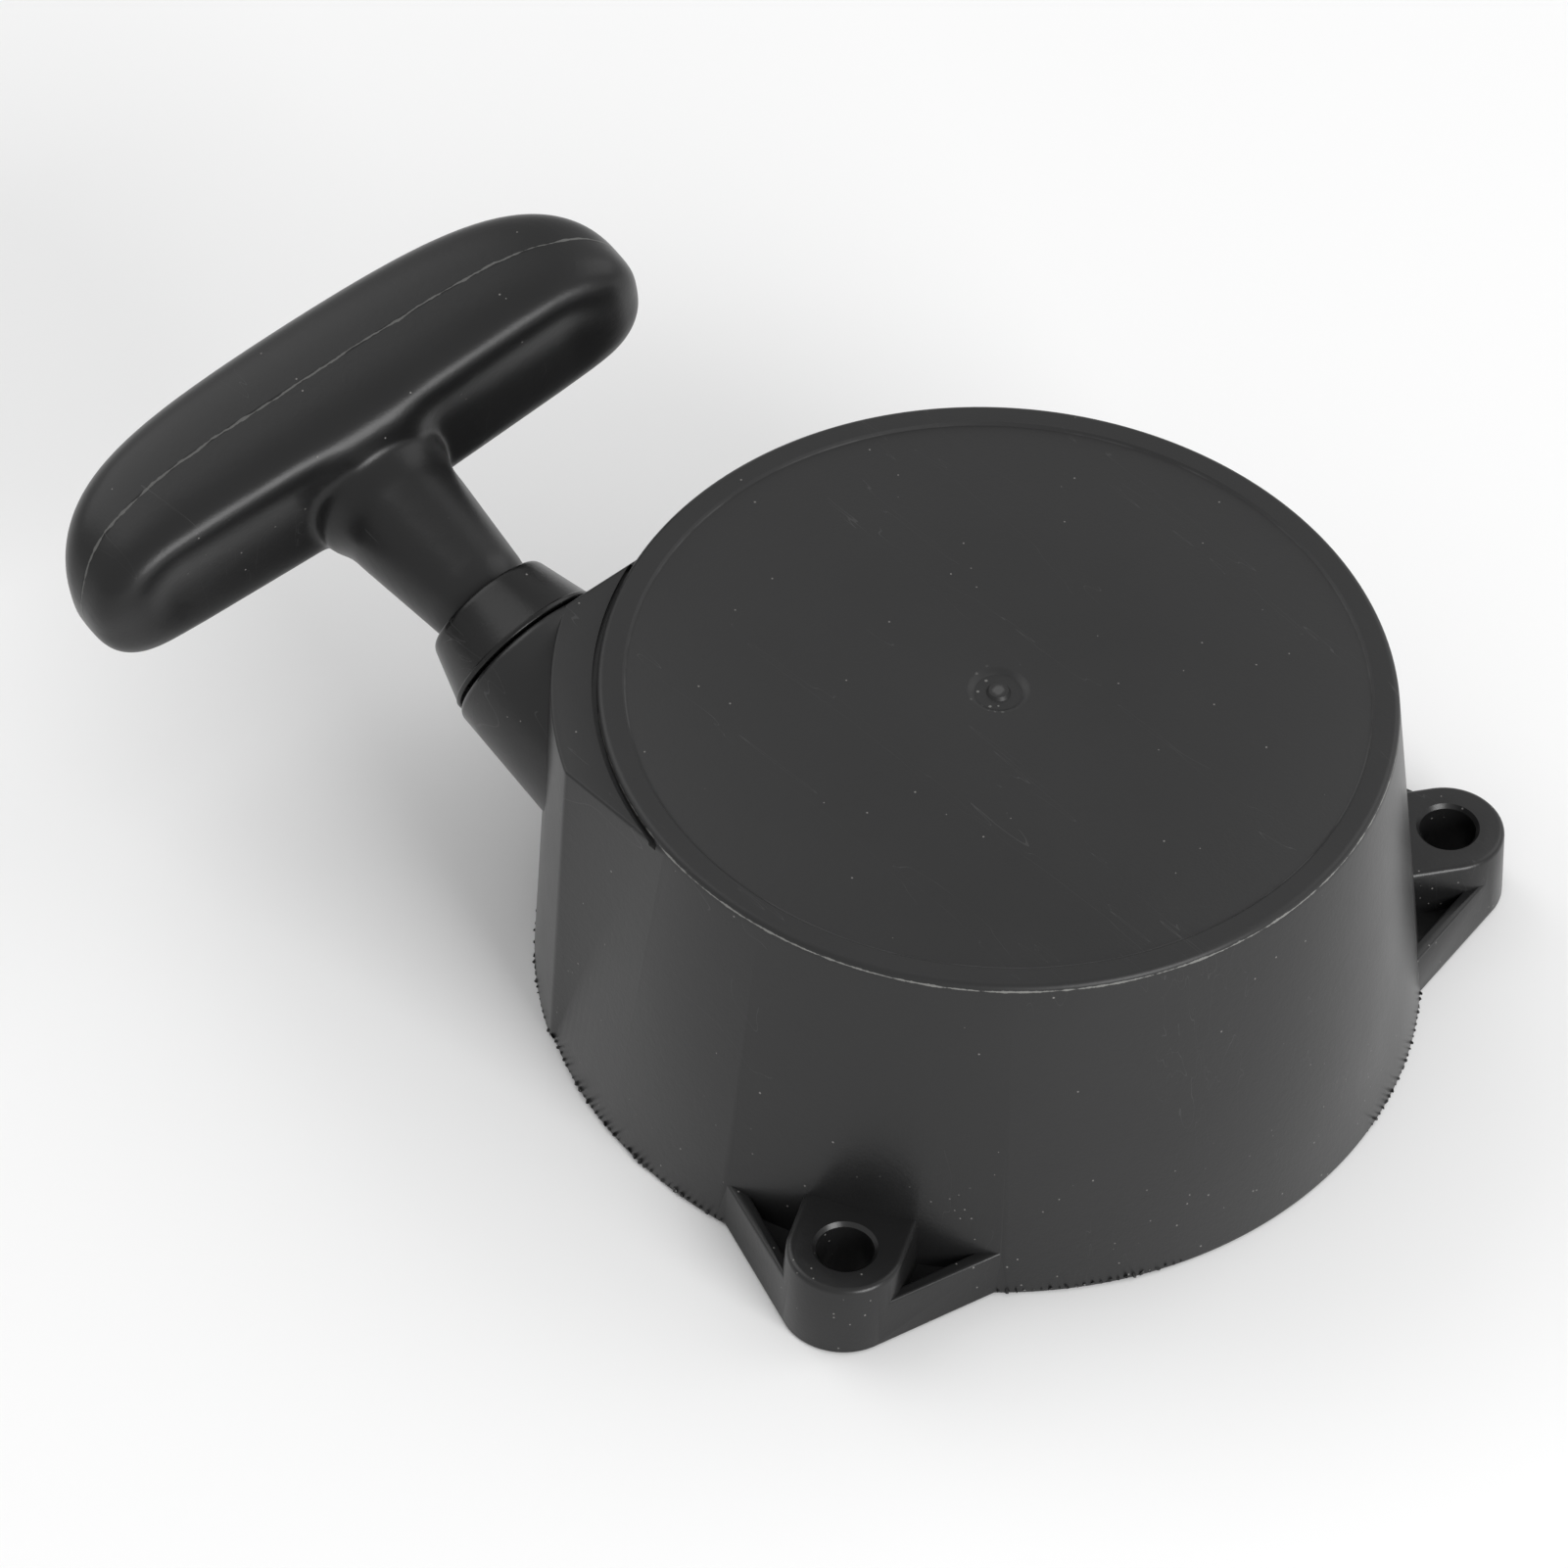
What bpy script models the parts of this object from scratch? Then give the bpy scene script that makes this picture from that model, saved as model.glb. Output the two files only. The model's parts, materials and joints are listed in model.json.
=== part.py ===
"""Recoil starter: a moulded cup with a spring-loaded rope reel, a rope guide and a T-handle.

The mounting plane is Z = 0, the cup's axis is +Z, and the rope is pulled towards -X.
Sizes are in millimetres times MM, which makes them metres.
"""

import math

import bmesh
import bpy
import numpy as np
from mathutils import Matrix, Vector

MM = 0.001

# Clearances between separate pieces.
SEAT_GAP = 0.3 * MM
RUNNING_GAP = 0.1 * MM
SHELF_GAP = 0.5 * MM

# Cup.
CUP_HEIGHT = 47.5 * MM
CUP_TOP_RADIUS = 48.0 * MM
CUP_BASE_RADIUS = 54.3 * MM
CUP_WALL = 2.5 * MM
CUP_EDGE_ROUND = 0.8 * MM
TOP_PANEL_RADIUS = 44.5 * MM
TOP_PANEL_DROP = 0.25 * MM
GATE_RADIUS = 3.7 * MM
GATE_DEPTH = 0.5 * MM
CUP_SEGMENTS = 80

# Corner block that carries the rope outlet.
BLOCK_REACH_X = 45.0 * MM
BLOCK_REACH_Y = 47.5 * MM
BLOCK_CORNER_RADIUS = 53.5 * MM
BLOCK_DROP = 0.9 * MM
BLOCK_DRAFT = 1.1 * MM

# Rope outlet. Its axis climbs outwards.
OUTLET_X = -48.6 * MM
OUTLET_Y = -31.4 * MM
OUTLET_Z = 36.7 * MM
OUTLET_TILT = math.radians(19.2)
SNOUT_RADIUS = 10.9 * MM
SNOUT_ROUND = 1.0 * MM
SNOUT_BORE_RADIUS = 8.0 * MM
GUIDE_FLANGE_RADIUS = 10.45 * MM
GUIDE_MOUTH_RADIUS = 8.3 * MM
GUIDE_HEAD_LENGTH = 8.1 * MM
GUIDE_SPIGOT_LENGTH = 10.0 * MM
GUIDE_BORE_RADIUS = 2.6 * MM
GUIDE_BORE_ROUND = 1.6 * MM

# Handle. At rest it droops a little from the outlet's axis, and hangs slightly askew.
HANDLE_TILT = math.radians(5.2)
HANDLE_ROLL = math.radians(13.0)
HANDLE_YAW = math.radians(-7.5)
HANDLE_SWING = math.radians(15.0)
PIVOT_AHEAD_OF_MOUTH = 2.4 * MM
STEM_NOSE_RADIUS = 6.8 * MM
STEM_ROOT_RADIUS = 8.0 * MM
STEM_LENGTH = 17.9 * MM
STEM_FLARE = 0.8 * MM
STEM_LEAN = math.radians(2.2)
GRIP_LENGTH = 81.0 * MM
GRIP_HEIGHT = 22.4 * MM
GRIP_HEIGHT_TAPER = 1.8 * MM
GRIP_RISE = 3.6 * MM
GRIP_DEPTH = 22.6 * MM
GRIP_DEPTH_TAPER = 5.2 * MM
GRIP_BACK_SWEEP = 2.6 * MM
GRIP_FRONT_HOLLOW = 3.0 * MM
GRIP_FRONT_RETURN = 3.7 * MM
ROPE_HOLE_RADIUS = 2.3 * MM
KNOT_RECESS_RADIUS = 5.6 * MM
KNOT_RECESS_DEPTH = 11.0 * MM
HANDLE_WASHER_RADIUS = 5.0 * MM
HANDLE_WASHER_THICKNESS = 1.2 * MM
HANDLE_KNOT_RADIUS = 3.8 * MM
PIVOT_ROPE_GAP = 0.6 * MM

# Mounting ears, one in line with the pull and two at 60 degrees either side of +X.
EAR_ANGLES = (math.radians(180.0), math.radians(60.0), math.radians(-60.0))
EAR_CIRCLE_RADIUS = 59.0 * MM
EAR_BOSS_RADIUS = 7.6 * MM
EAR_BOSS_HEIGHT = 10.6 * MM
EAR_DRAFT = 0.6 * MM
EAR_HOLE_RADIUS = 3.5 * MM
EAR_WEB_HEIGHT = 6.4 * MM
EAR_WEB_SPREAD = 17.8 * MM
EAR_WEB_INNER = 50.5 * MM
EAR_POCKET_DEPTH = 2.6 * MM
EAR_POCKET_WALL = 1.5 * MM

# Rope and its turns on the reel.
ROPE_RADIUS = 1.7 * MM
ROPE_LAYERS = 2
ROPE_COLUMNS = 2
ROPE_LAYER_PITCH = 3.75 * MM
ROPE_COLUMN_PITCH = 3.7 * MM
ROPE_TURN_SEGMENTS = 24
ROPE_STEP_SEGMENTS = 2
ROPE_STEP_DELAY = 2
BEND_EASE = 4.0 * MM
BEND_STEPS = 6

# Reel.
REEL_GROOVE_MIDDLE = 30.0 * MM
REEL_GROOVE_HEIGHT = 7.6 * MM
REEL_FLANGE_RADIUS = 38.0 * MM
REEL_FLANGE_THICKNESS = 1.2 * MM
REEL_HUB_RADIUS = 12.0 * MM
REEL_HUB_SLOT = 1.6 * MM
REEL_SEGMENTS = 48
REEL_KNOT_RADIUS = 2.8 * MM
REEL_KNOT_PLACE = 17.0 * MM
REEL_KNOT_ANGLE = math.radians(155.0)

# Centre post, screw and washer.
POST_RADIUS = 7.0 * MM
POST_END = 17.8 * MM
INSERT_RADIUS = 3.6 * MM
INSERT_LENGTH = 12.0 * MM
CENTRE_SCREW_RADIUS = 2.3 * MM
CENTRE_SCREW_LENGTH = 12.5 * MM
CENTRE_HEAD_RADIUS = 5.2 * MM
CENTRE_HEAD_HEIGHT = 3.2 * MM
WASHER_RADIUS = 10.5 * MM
WASHER_THICKNESS = 1.3 * MM

# Spring cassette.
SPRING_CASE_RADIUS = 36.0 * MM
SPRING_CASE_SHEET = 0.8 * MM
SPRING_TURNS = 8
SPRING_STEPS_PER_TURN = 24
SPRING_STRIP = 0.6 * MM
SPRING_WIDTH = 6.4 * MM
COVER_RADIUS = 44.6 * MM
COVER_SHEET = 0.8 * MM
COVER_SCREW_ANGLES = (math.radians(0.0), math.radians(120.0), math.radians(255.0))
COVER_SCREW_CIRCLE = 41.5 * MM
COVER_BOSS_RADIUS = 2.8 * MM
COVER_SCREW_RADIUS = 1.2 * MM
COVER_SCREW_LENGTH = 6.0 * MM
COVER_HEAD_RADIUS = 2.3 * MM
COVER_HEAD_HEIGHT = 1.5 * MM

# Pawls and the plate that swings them out.
PAWL_CIRCLE_RADIUS = 18.5 * MM
PAWL_EYE_RADIUS = 3.8 * MM
PAWL_THICKNESS = 2.8 * MM
PAWL_REACH = 14.5 * MM
PAWL_TIP_RADIUS = 1.8 * MM
PAWL_PIN_RADIUS = 1.9 * MM
PAWL_PIN_DEPTH = 7.0 * MM
PAWL_PEG_RADIUS = 1.2 * MM
PAWL_PEG_REACH = 7.5 * MM
PAWL_SWING = math.radians(25.0)
PLATE_TURN = math.radians(20.0)
PLATE_THICKNESS = 1.0 * MM
PLATE_HUB_RADIUS = 11.0 * MM
PLATE_LOBE_RADIUS = 3.8 * MM
PLATE_SLOT_STEPS = 7
FRICTION_WIRE_RADIUS = 0.4 * MM
FRICTION_COIL_RADIUS = 8.0 * MM
FRICTION_TURNS = 2

# Heights that follow from the sizes above.
CEILING = CUP_HEIGHT - CUP_WALL
CASE_TOP = CEILING - SEAT_GAP
CASE_INNER_TOP = CASE_TOP - SPRING_CASE_SHEET
SPRING_TOP = CASE_INNER_TOP - SHELF_GAP
SPRING_BOTTOM = SPRING_TOP - SPRING_WIDTH
CASE_BOTTOM = SPRING_BOTTOM - SHELF_GAP
COVER_TOP = CASE_BOTTOM - SEAT_GAP
COVER_BOTTOM = COVER_TOP - COVER_SHEET
GROOVE_TOP = REEL_GROOVE_MIDDLE + REEL_GROOVE_HEIGHT / 2
GROOVE_BOTTOM = REEL_GROOVE_MIDDLE - REEL_GROOVE_HEIGHT / 2
REEL_TOP = GROOVE_TOP + REEL_FLANGE_THICKNESS
REEL_BOTTOM = GROOVE_BOTTOM - REEL_FLANGE_THICKNESS
PAWL_TOP = REEL_BOTTOM - SEAT_GAP
PAWL_BOTTOM = PAWL_TOP - PAWL_THICKNESS
PLATE_TOP = PAWL_BOTTOM - SHELF_GAP
PLATE_BOTTOM = PLATE_TOP - PLATE_THICKNESS

# The rope's outer layer lies in line with the outlet, so its radius is the outlet's offset.
ROPE_OUTER_LAYER = abs(OUTLET_Y) - ROPE_LAYER_PITCH
REEL_CORE_RADIUS = ROPE_OUTER_LAYER - (ROPE_LAYERS - 1) * ROPE_LAYER_PITCH - ROPE_RADIUS - SEAT_GAP

OUTLET_AXIS = Vector((-math.cos(OUTLET_TILT), 0.0, math.sin(OUTLET_TILT)))
OUTLET_POINT = Vector((OUTLET_X, OUTLET_Y, OUTLET_Z))
MOUTH_POINT = OUTLET_POINT + OUTLET_AXIS * GUIDE_HEAD_LENGTH
PIVOT = MOUTH_POINT + OUTLET_AXIS * PIVOT_AHEAD_OF_MOUTH

SMOOTH_ANGLE = math.radians(35.0)


def clear_scene():
    for obj in list(bpy.data.objects):
        bpy.data.objects.remove(obj, do_unlink=True)


def new_collection(name):
    collection = bpy.data.collections.new(name)
    bpy.context.scene.collection.children.link(collection)
    return collection


def material(name, color, roughness, metallic):
    made = bpy.data.materials.new(name)
    made.use_nodes = True
    shader = made.node_tree.nodes["Principled BSDF"]
    shader.inputs["Base Color"].default_value = (*color, 1.0)
    shader.inputs["Roughness"].default_value = roughness
    shader.inputs["Metallic"].default_value = metallic
    return made


def smooth(mesh):
    mesh.shade_smooth()
    mesh.set_sharp_from_angle(angle=SMOOTH_ANGLE)


def link_part(name, mesh, finish, collection):
    obj = bpy.data.objects.new(name, mesh)
    if finish is not None:
        mesh.materials.append(finish)
    collection.objects.link(obj)
    return obj


def mesh_from(bm, name):
    mesh = bpy.data.meshes.new(name)
    bmesh.ops.recalc_face_normals(bm, faces=bm.faces)
    bm.to_mesh(mesh)
    bm.free()
    smooth(mesh)
    return mesh


def turned(name, profile, finish, collection, segments=48, closed=False):
    """A Screw about Z of (radius, height) points, which run down the outer side from the top."""
    mesh = bpy.data.meshes.new(name)
    bm = bmesh.new()
    points = [bm.verts.new((radius, 0.0, height)) for radius, height in profile]
    for start, end in zip(points, points[1:]):
        bm.edges.new((start, end))
    if closed:
        bm.edges.new((points[-1], points[0]))
    bm.to_mesh(mesh)
    bm.free()
    obj = link_part(name, mesh, finish, collection)
    screw = obj.modifiers.new("Turn", "SCREW")
    screw.angle = 2.0 * math.pi
    screw.steps = segments
    screw.render_steps = segments
    screw.use_merge_vertices = True
    screw.merge_threshold = 0.00001
    screw.use_smooth_shade = True
    return obj


def ring_profile(inner, outer, bottom, top):
    return [(inner, top), (outer, top), (outer, bottom), (inner, bottom)]


def prism(name, lower, upper, bottom, top, finish, collection):
    """A solid between two outlines of the same number of points, anticlockwise seen from above."""
    bm = bmesh.new()
    low = [bm.verts.new((x, y, bottom)) for x, y in lower]
    high = [bm.verts.new((x, y, top)) for x, y in upper]
    count = len(low)
    bm.faces.new(reversed(low))
    bm.faces.new(high)
    for index in range(count):
        following = (index + 1) % count
        bm.faces.new((low[index], low[following], high[following], high[index]))
    return link_part(name, mesh_from(bm, name), finish, collection)


def drill(name, radius, depth, location, direction, collection, segments=32):
    """A round cutter whose middle is at location and whose length runs along direction."""
    bm = bmesh.new()
    bmesh.ops.create_cone(
        bm, cap_ends=True, segments=segments, radius1=radius, radius2=radius, depth=depth
    )
    obj = link_part(name, mesh_from(bm, name), None, collection)
    obj.rotation_mode = "QUATERNION"
    obj.rotation_quaternion = Vector(direction).to_track_quat("Z", "Y")
    obj.location = location
    return obj


def block(name, size, location, finish, collection):
    bm = bmesh.new()
    bmesh.ops.create_cube(bm, size=1.0, matrix=Matrix.Diagonal((*size, 1.0)))
    obj = link_part(name, mesh_from(bm, name), finish, collection)
    obj.location = location
    return obj


def combine(target, other, operation):
    boolean = target.modifiers.new(f"{operation.title()} {other.name}", "BOOLEAN")
    boolean.operation = operation
    boolean.solver = "EXACT"
    boolean.object = other


def join_to(target, *others):
    for other in others:
        combine(target, other, "UNION")


def cut_from(target, *others):
    for other in others:
        combine(target, other, "DIFFERENCE")


def arc(radius, start, end, steps, centre=(0.0, 0.0)):
    return [
        (
            centre[0] + radius * math.cos(start + (end - start) * step / steps),
            centre[1] + radius * math.sin(start + (end - start) * step / steps),
        )
        for step in range(steps + 1)
    ]


def wrap(points):
    """The outline that a tight band round these points takes, anticlockwise."""
    ordered = sorted(set(points))

    def half(run):
        kept = []
        for point in run:
            while len(kept) > 1 and turn(kept[-2], kept[-1], point) <= 0.0:
                kept.pop()
            kept.append(point)
        return kept[:-1]

    def turn(first, second, third):
        return (second[0] - first[0]) * (third[1] - first[1]) - (second[1] - first[1]) * (
            third[0] - first[0]
        )

    return half(ordered) + half(reversed(ordered))


def circle(radius, centre, steps=20):
    return arc(radius, 0.0, 2.0 * math.pi * (steps - 1) / steps, steps - 1, centre)


def tube(name, points, radius, finish, collection):
    """A bent rod or rope along the points, as a mesh with closed ends."""
    curve = bpy.data.curves.new(name, "CURVE")
    curve.dimensions = "3D"
    curve.bevel_depth = radius
    curve.bevel_resolution = 2
    curve.use_fill_caps = True
    spline = curve.splines.new("POLY")
    spline.points.add(len(points) - 1)
    for spot, point in zip(spline.points, points):
        spot.co = (*point, 1.0)
    curve.materials.append(finish)
    obj = bpy.data.objects.new(name, curve)
    collection.objects.link(obj)
    return obj


def outlet_placed(obj):
    """Puts a piece turned about Z on the outlet's axis, with +Z pointing out of the mouth."""
    obj.rotation_mode = "QUATERNION"
    obj.rotation_quaternion = OUTLET_AXIS.to_track_quat("Z", "Y")
    obj.location = OUTLET_POINT
    return obj


# ---------------------------------------------------------------- cup


def cup_radius(height):
    return CUP_BASE_RADIUS + (CUP_TOP_RADIUS - CUP_BASE_RADIUS) * height / CUP_HEIGHT


def block_outline(inset, spread):
    """The corner block in plan: two walls and a round corner, with its inner point inside the cup."""
    reach_x = BLOCK_REACH_X - inset + spread
    reach_y = BLOCK_REACH_Y - inset + spread
    radius = BLOCK_CORNER_RADIUS - inset + spread
    start = math.atan2(-math.sqrt(radius**2 - reach_x**2), -reach_x)
    end = math.atan2(-reach_y, -math.sqrt(radius**2 - reach_y**2))
    inner = -BLOCK_REACH_X / 2
    return [(inner, inner), (-reach_x, 0.0), *arc(radius, start, end, 10), (0.0, -reach_y)]


def make_casing(finish, parts, cutters):
    panel = CUP_HEIGHT - TOP_PANEL_DROP
    round_centre = (CUP_TOP_RADIUS - CUP_EDGE_ROUND, CUP_HEIGHT - CUP_EDGE_ROUND)
    edge = arc(CUP_EDGE_ROUND, math.radians(90.0), math.radians(8.0), 4, round_centre)
    casing = turned(
        "casing",
        [
            (0.0, panel - GATE_DEPTH * 0.4),
            (GATE_RADIUS * 0.36, panel - GATE_DEPTH * 0.4),
            (GATE_RADIUS * 0.42, panel - GATE_DEPTH),
            (GATE_RADIUS * 0.8, panel - GATE_DEPTH),
            (GATE_RADIUS, panel),
            (TOP_PANEL_RADIUS, panel),
            (TOP_PANEL_RADIUS + TOP_PANEL_DROP, CUP_HEIGHT),
            *edge,
            (CUP_BASE_RADIUS, 0.0),
            (0.0, 0.0),
        ],
        finish,
        parts,
        CUP_SEGMENTS,
    )

    corner = prism(
        "corner_block",
        block_outline(0.0, BLOCK_DRAFT),
        block_outline(0.0, 0.0),
        0.0,
        CUP_HEIGHT - BLOCK_DROP,
        None,
        cutters,
    )
    join_to(casing, corner, make_snout(cutters))
    for index, angle in enumerate(EAR_ANGLES):
        join_to(casing, *make_ear(index + 1, angle, cutters))

    below = -1.0 * MM
    cavity = turned(
        "cup_cavity",
        [
            (0.0, POST_END),
            (POST_RADIUS, POST_END),
            (POST_RADIUS, CEILING),
            (cup_radius(CEILING) - CUP_WALL, CEILING),
            (cup_radius(below) - CUP_WALL, below),
            (0.0, below),
        ],
        None,
        cutters,
        CUP_SEGMENTS,
    )
    corner_cavity = prism(
        "corner_cavity",
        block_outline(CUP_WALL, BLOCK_DRAFT),
        block_outline(CUP_WALL, 0.0),
        below,
        CUP_HEIGHT - BLOCK_DROP - CUP_WALL,
        None,
        cutters,
    )
    cut_from(casing, cavity, corner_cavity)

    bosses = [make_cover_boss(index + 1, angle, cutters) for index, angle in enumerate(COVER_SCREW_ANGLES)]
    join_to(casing, *bosses)
    for index, angle in enumerate(COVER_SCREW_ANGLES):
        spot = polar(COVER_SCREW_CIRCLE, angle, COVER_TOP + COVER_SCREW_LENGTH / 2)
        depth = COVER_SCREW_LENGTH + 2 * SHELF_GAP
        cut_from(casing, drill(f"cover_screw_hole_{index + 1}", COVER_SCREW_RADIUS + SEAT_GAP, depth, spot,
                               (0, 0, 1), cutters, 16))
    for index, angle in enumerate(EAR_ANGLES):
        spot = polar(EAR_CIRCLE_RADIUS, angle, EAR_BOSS_HEIGHT / 2)
        cut_from(casing, drill(f"ear_hole_{index + 1}", EAR_HOLE_RADIUS, 2 * EAR_BOSS_HEIGHT, spot, (0, 0, 1),
                               cutters))

    bore = drill("snout_bore", SNOUT_BORE_RADIUS, 40.0 * MM, OUTLET_POINT, OUTLET_AXIS, cutters, 48)
    insert_hole = drill(
        "insert_hole", INSERT_RADIUS + SEAT_GAP, 2 * (INSERT_LENGTH + SHELF_GAP), (0.0, 0.0, POST_END),
        (0, 0, 1), cutters, 24,
    )
    cut_from(casing, bore, insert_hole)
    return casing


def polar(radius, angle, height):
    return (radius * math.cos(angle), radius * math.sin(angle), height)


def make_snout(cutters):
    """The round spout of the cup, rounded at its end and cut level with the corner block's top."""
    inside = 22.0 * MM
    centre = (SNOUT_RADIUS - SNOUT_ROUND, -SNOUT_ROUND)
    profile = [(0.0, 0.0), *arc(SNOUT_ROUND, math.radians(90.0), 0.0, 4, centre), (SNOUT_RADIUS, -inside)]
    snout = outlet_placed(turned("snout", [*profile, (0.0, -inside)], None, cutters, 48))
    size = 60.0 * MM
    above = block(
        "snout_trim", (size, size, size),
        (OUTLET_X, OUTLET_Y, CUP_HEIGHT - BLOCK_DROP + size / 2), None, cutters,
    )
    cut_from(snout, above)
    return snout


def boss_end(radius, half_angle):
    """The outer end of an ear's boss, in the ear's frame, as an arc about the hole."""
    return arc(radius, -half_angle, half_angle, 14, (EAR_CIRCLE_RADIUS, 0.0))


def web_outline(radius, spread, inside):
    """The web's sides run from the cup and meet the boss's round end at a tangent."""
    reach = EAR_CIRCLE_RADIUS - EAR_WEB_INNER
    tangent = math.atan2(spread, -reach) - math.acos(radius / math.hypot(reach, spread))
    return [(inside, -spread), (EAR_WEB_INNER, -spread), *boss_end(radius, tangent),
            (EAR_WEB_INNER, spread), (inside, spread)]


def make_ear(index, angle, cutters):
    """A boss with a half-round end, and a lower web on both sides of it, with a shallow tray in its top."""
    inside = EAR_WEB_INNER - 3.0 * MM
    boss_levels = []
    web_levels = []
    for draft in (0.0, EAR_DRAFT):
        radius = EAR_BOSS_RADIUS - draft
        boss_levels.append([(inside, -radius), *boss_end(radius, math.pi / 2), (inside, radius)])
        web_levels.append(web_outline(radius, EAR_WEB_SPREAD - draft, inside))
    boss = prism(f"ear_boss_{index}", *boss_levels, 0.0, EAR_BOSS_HEIGHT, None, cutters)
    web = prism(f"ear_web_{index}", *web_levels, 0.0, EAR_WEB_HEIGHT, None, cutters)
    tray_outline = web_outline(
        EAR_BOSS_RADIUS - EAR_DRAFT - EAR_POCKET_WALL, EAR_WEB_SPREAD - 2 * EAR_POCKET_WALL, inside - CUP_WALL
    )
    tray = prism(f"ear_tray_{index}", tray_outline, tray_outline, EAR_WEB_HEIGHT - EAR_POCKET_DEPTH,
                 EAR_BOSS_HEIGHT, None, cutters)
    cut_from(web, tray)
    for piece in (boss, web, tray):
        piece.rotation_euler = (0.0, 0.0, angle)
    return web, boss


def make_cover_boss(index, angle, cutters):
    overlap = 1.0 * MM
    bottom = COVER_TOP + SEAT_GAP
    height = CEILING + overlap - bottom
    return drill(f"cover_boss_{index}", COVER_BOSS_RADIUS, height,
                 polar(COVER_SCREW_CIRCLE, angle, bottom + height / 2), (0, 0, 1), cutters, 20)


# ---------------------------------------------------------------- rope guide and handle


def make_rope_guide(finish, parts):
    """A flanged cone on a spigot, with a round dish in its mouth for the handle's nose."""
    dish = STEM_NOSE_RADIUS + SEAT_GAP
    head = GUIDE_HEAD_LENGTH
    pivot = head + PIVOT_AHEAD_OF_MOUTH
    rim_angle = math.asin(PIVOT_AHEAD_OF_MOUTH / dish)
    bore_angle = math.acos(GUIDE_BORE_RADIUS / dish)
    steps = 5
    bowl = []
    for step in range(steps + 1):
        angle = bore_angle + (rim_angle - bore_angle) * step / steps
        bowl.append((dish * math.cos(angle), pivot - dish * math.sin(angle)))
    bottom = SEAT_GAP
    lip = 0.6 * MM
    entry = -GUIDE_SPIGOT_LENGTH
    outline = [
        *bowl,
        (GUIDE_MOUTH_RADIUS - 0.4 * MM, head),
        (GUIDE_MOUTH_RADIUS, head - 0.5 * MM),
        (GUIDE_FLANGE_RADIUS, bottom + lip),
        (GUIDE_FLANGE_RADIUS, bottom),
        (SNOUT_BORE_RADIUS - SEAT_GAP, bottom),
        (SNOUT_BORE_RADIUS - SEAT_GAP, entry + 1.0 * MM),
        (SNOUT_BORE_RADIUS - SEAT_GAP - 1.0 * MM, entry),
        (GUIDE_BORE_RADIUS + GUIDE_BORE_ROUND, entry),
        (GUIDE_BORE_RADIUS + GUIDE_BORE_ROUND * 0.3, entry + GUIDE_BORE_ROUND * 0.7),
        (GUIDE_BORE_RADIUS, entry + GUIDE_BORE_ROUND * 1.8),
    ]
    return outlet_placed(turned("rope_guide", outline, finish, parts, 40, closed=True))


def superellipse(half_width, half_height, power, steps):
    points = []
    for step in range(steps):
        angle = 2.0 * math.pi * step / steps
        along, up = math.cos(angle), math.sin(angle)
        size = (abs(along) ** power + abs(up) ** power) ** (-1.0 / power)
        points.append((half_width * along * size, half_height * up * size))
    return points


def grip_section(across):
    """Middle, half depth and half height of the grip at a place across it, from -1 to 1."""
    front = STEM_LENGTH + GRIP_FRONT_HOLLOW * across**2 - GRIP_FRONT_RETURN * across**4
    depth = GRIP_DEPTH - GRIP_DEPTH_TAPER * across**2 - GRIP_BACK_SWEEP * across**4
    height = GRIP_HEIGHT - GRIP_HEIGHT_TAPER * across**2
    left = 1.0 - abs(across) ** 9.0
    return front + depth / 2, depth / 2 * left ** (1.0 / 2.7), height / 2 * left ** (1.0 / 2.1)


def make_handle_frame(parts):
    """The nose's centre, with -X along the stem away from the mouth. The handle's pieces hang on it."""
    frame = bpy.data.objects.new("handle_frame", None)
    frame.empty_display_size = 10.0 * MM
    frame.location = PIVOT
    frame.rotation_euler = (HANDLE_ROLL, HANDLE_TILT, HANDLE_YAW)
    parts.objects.link(frame)
    return frame


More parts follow.
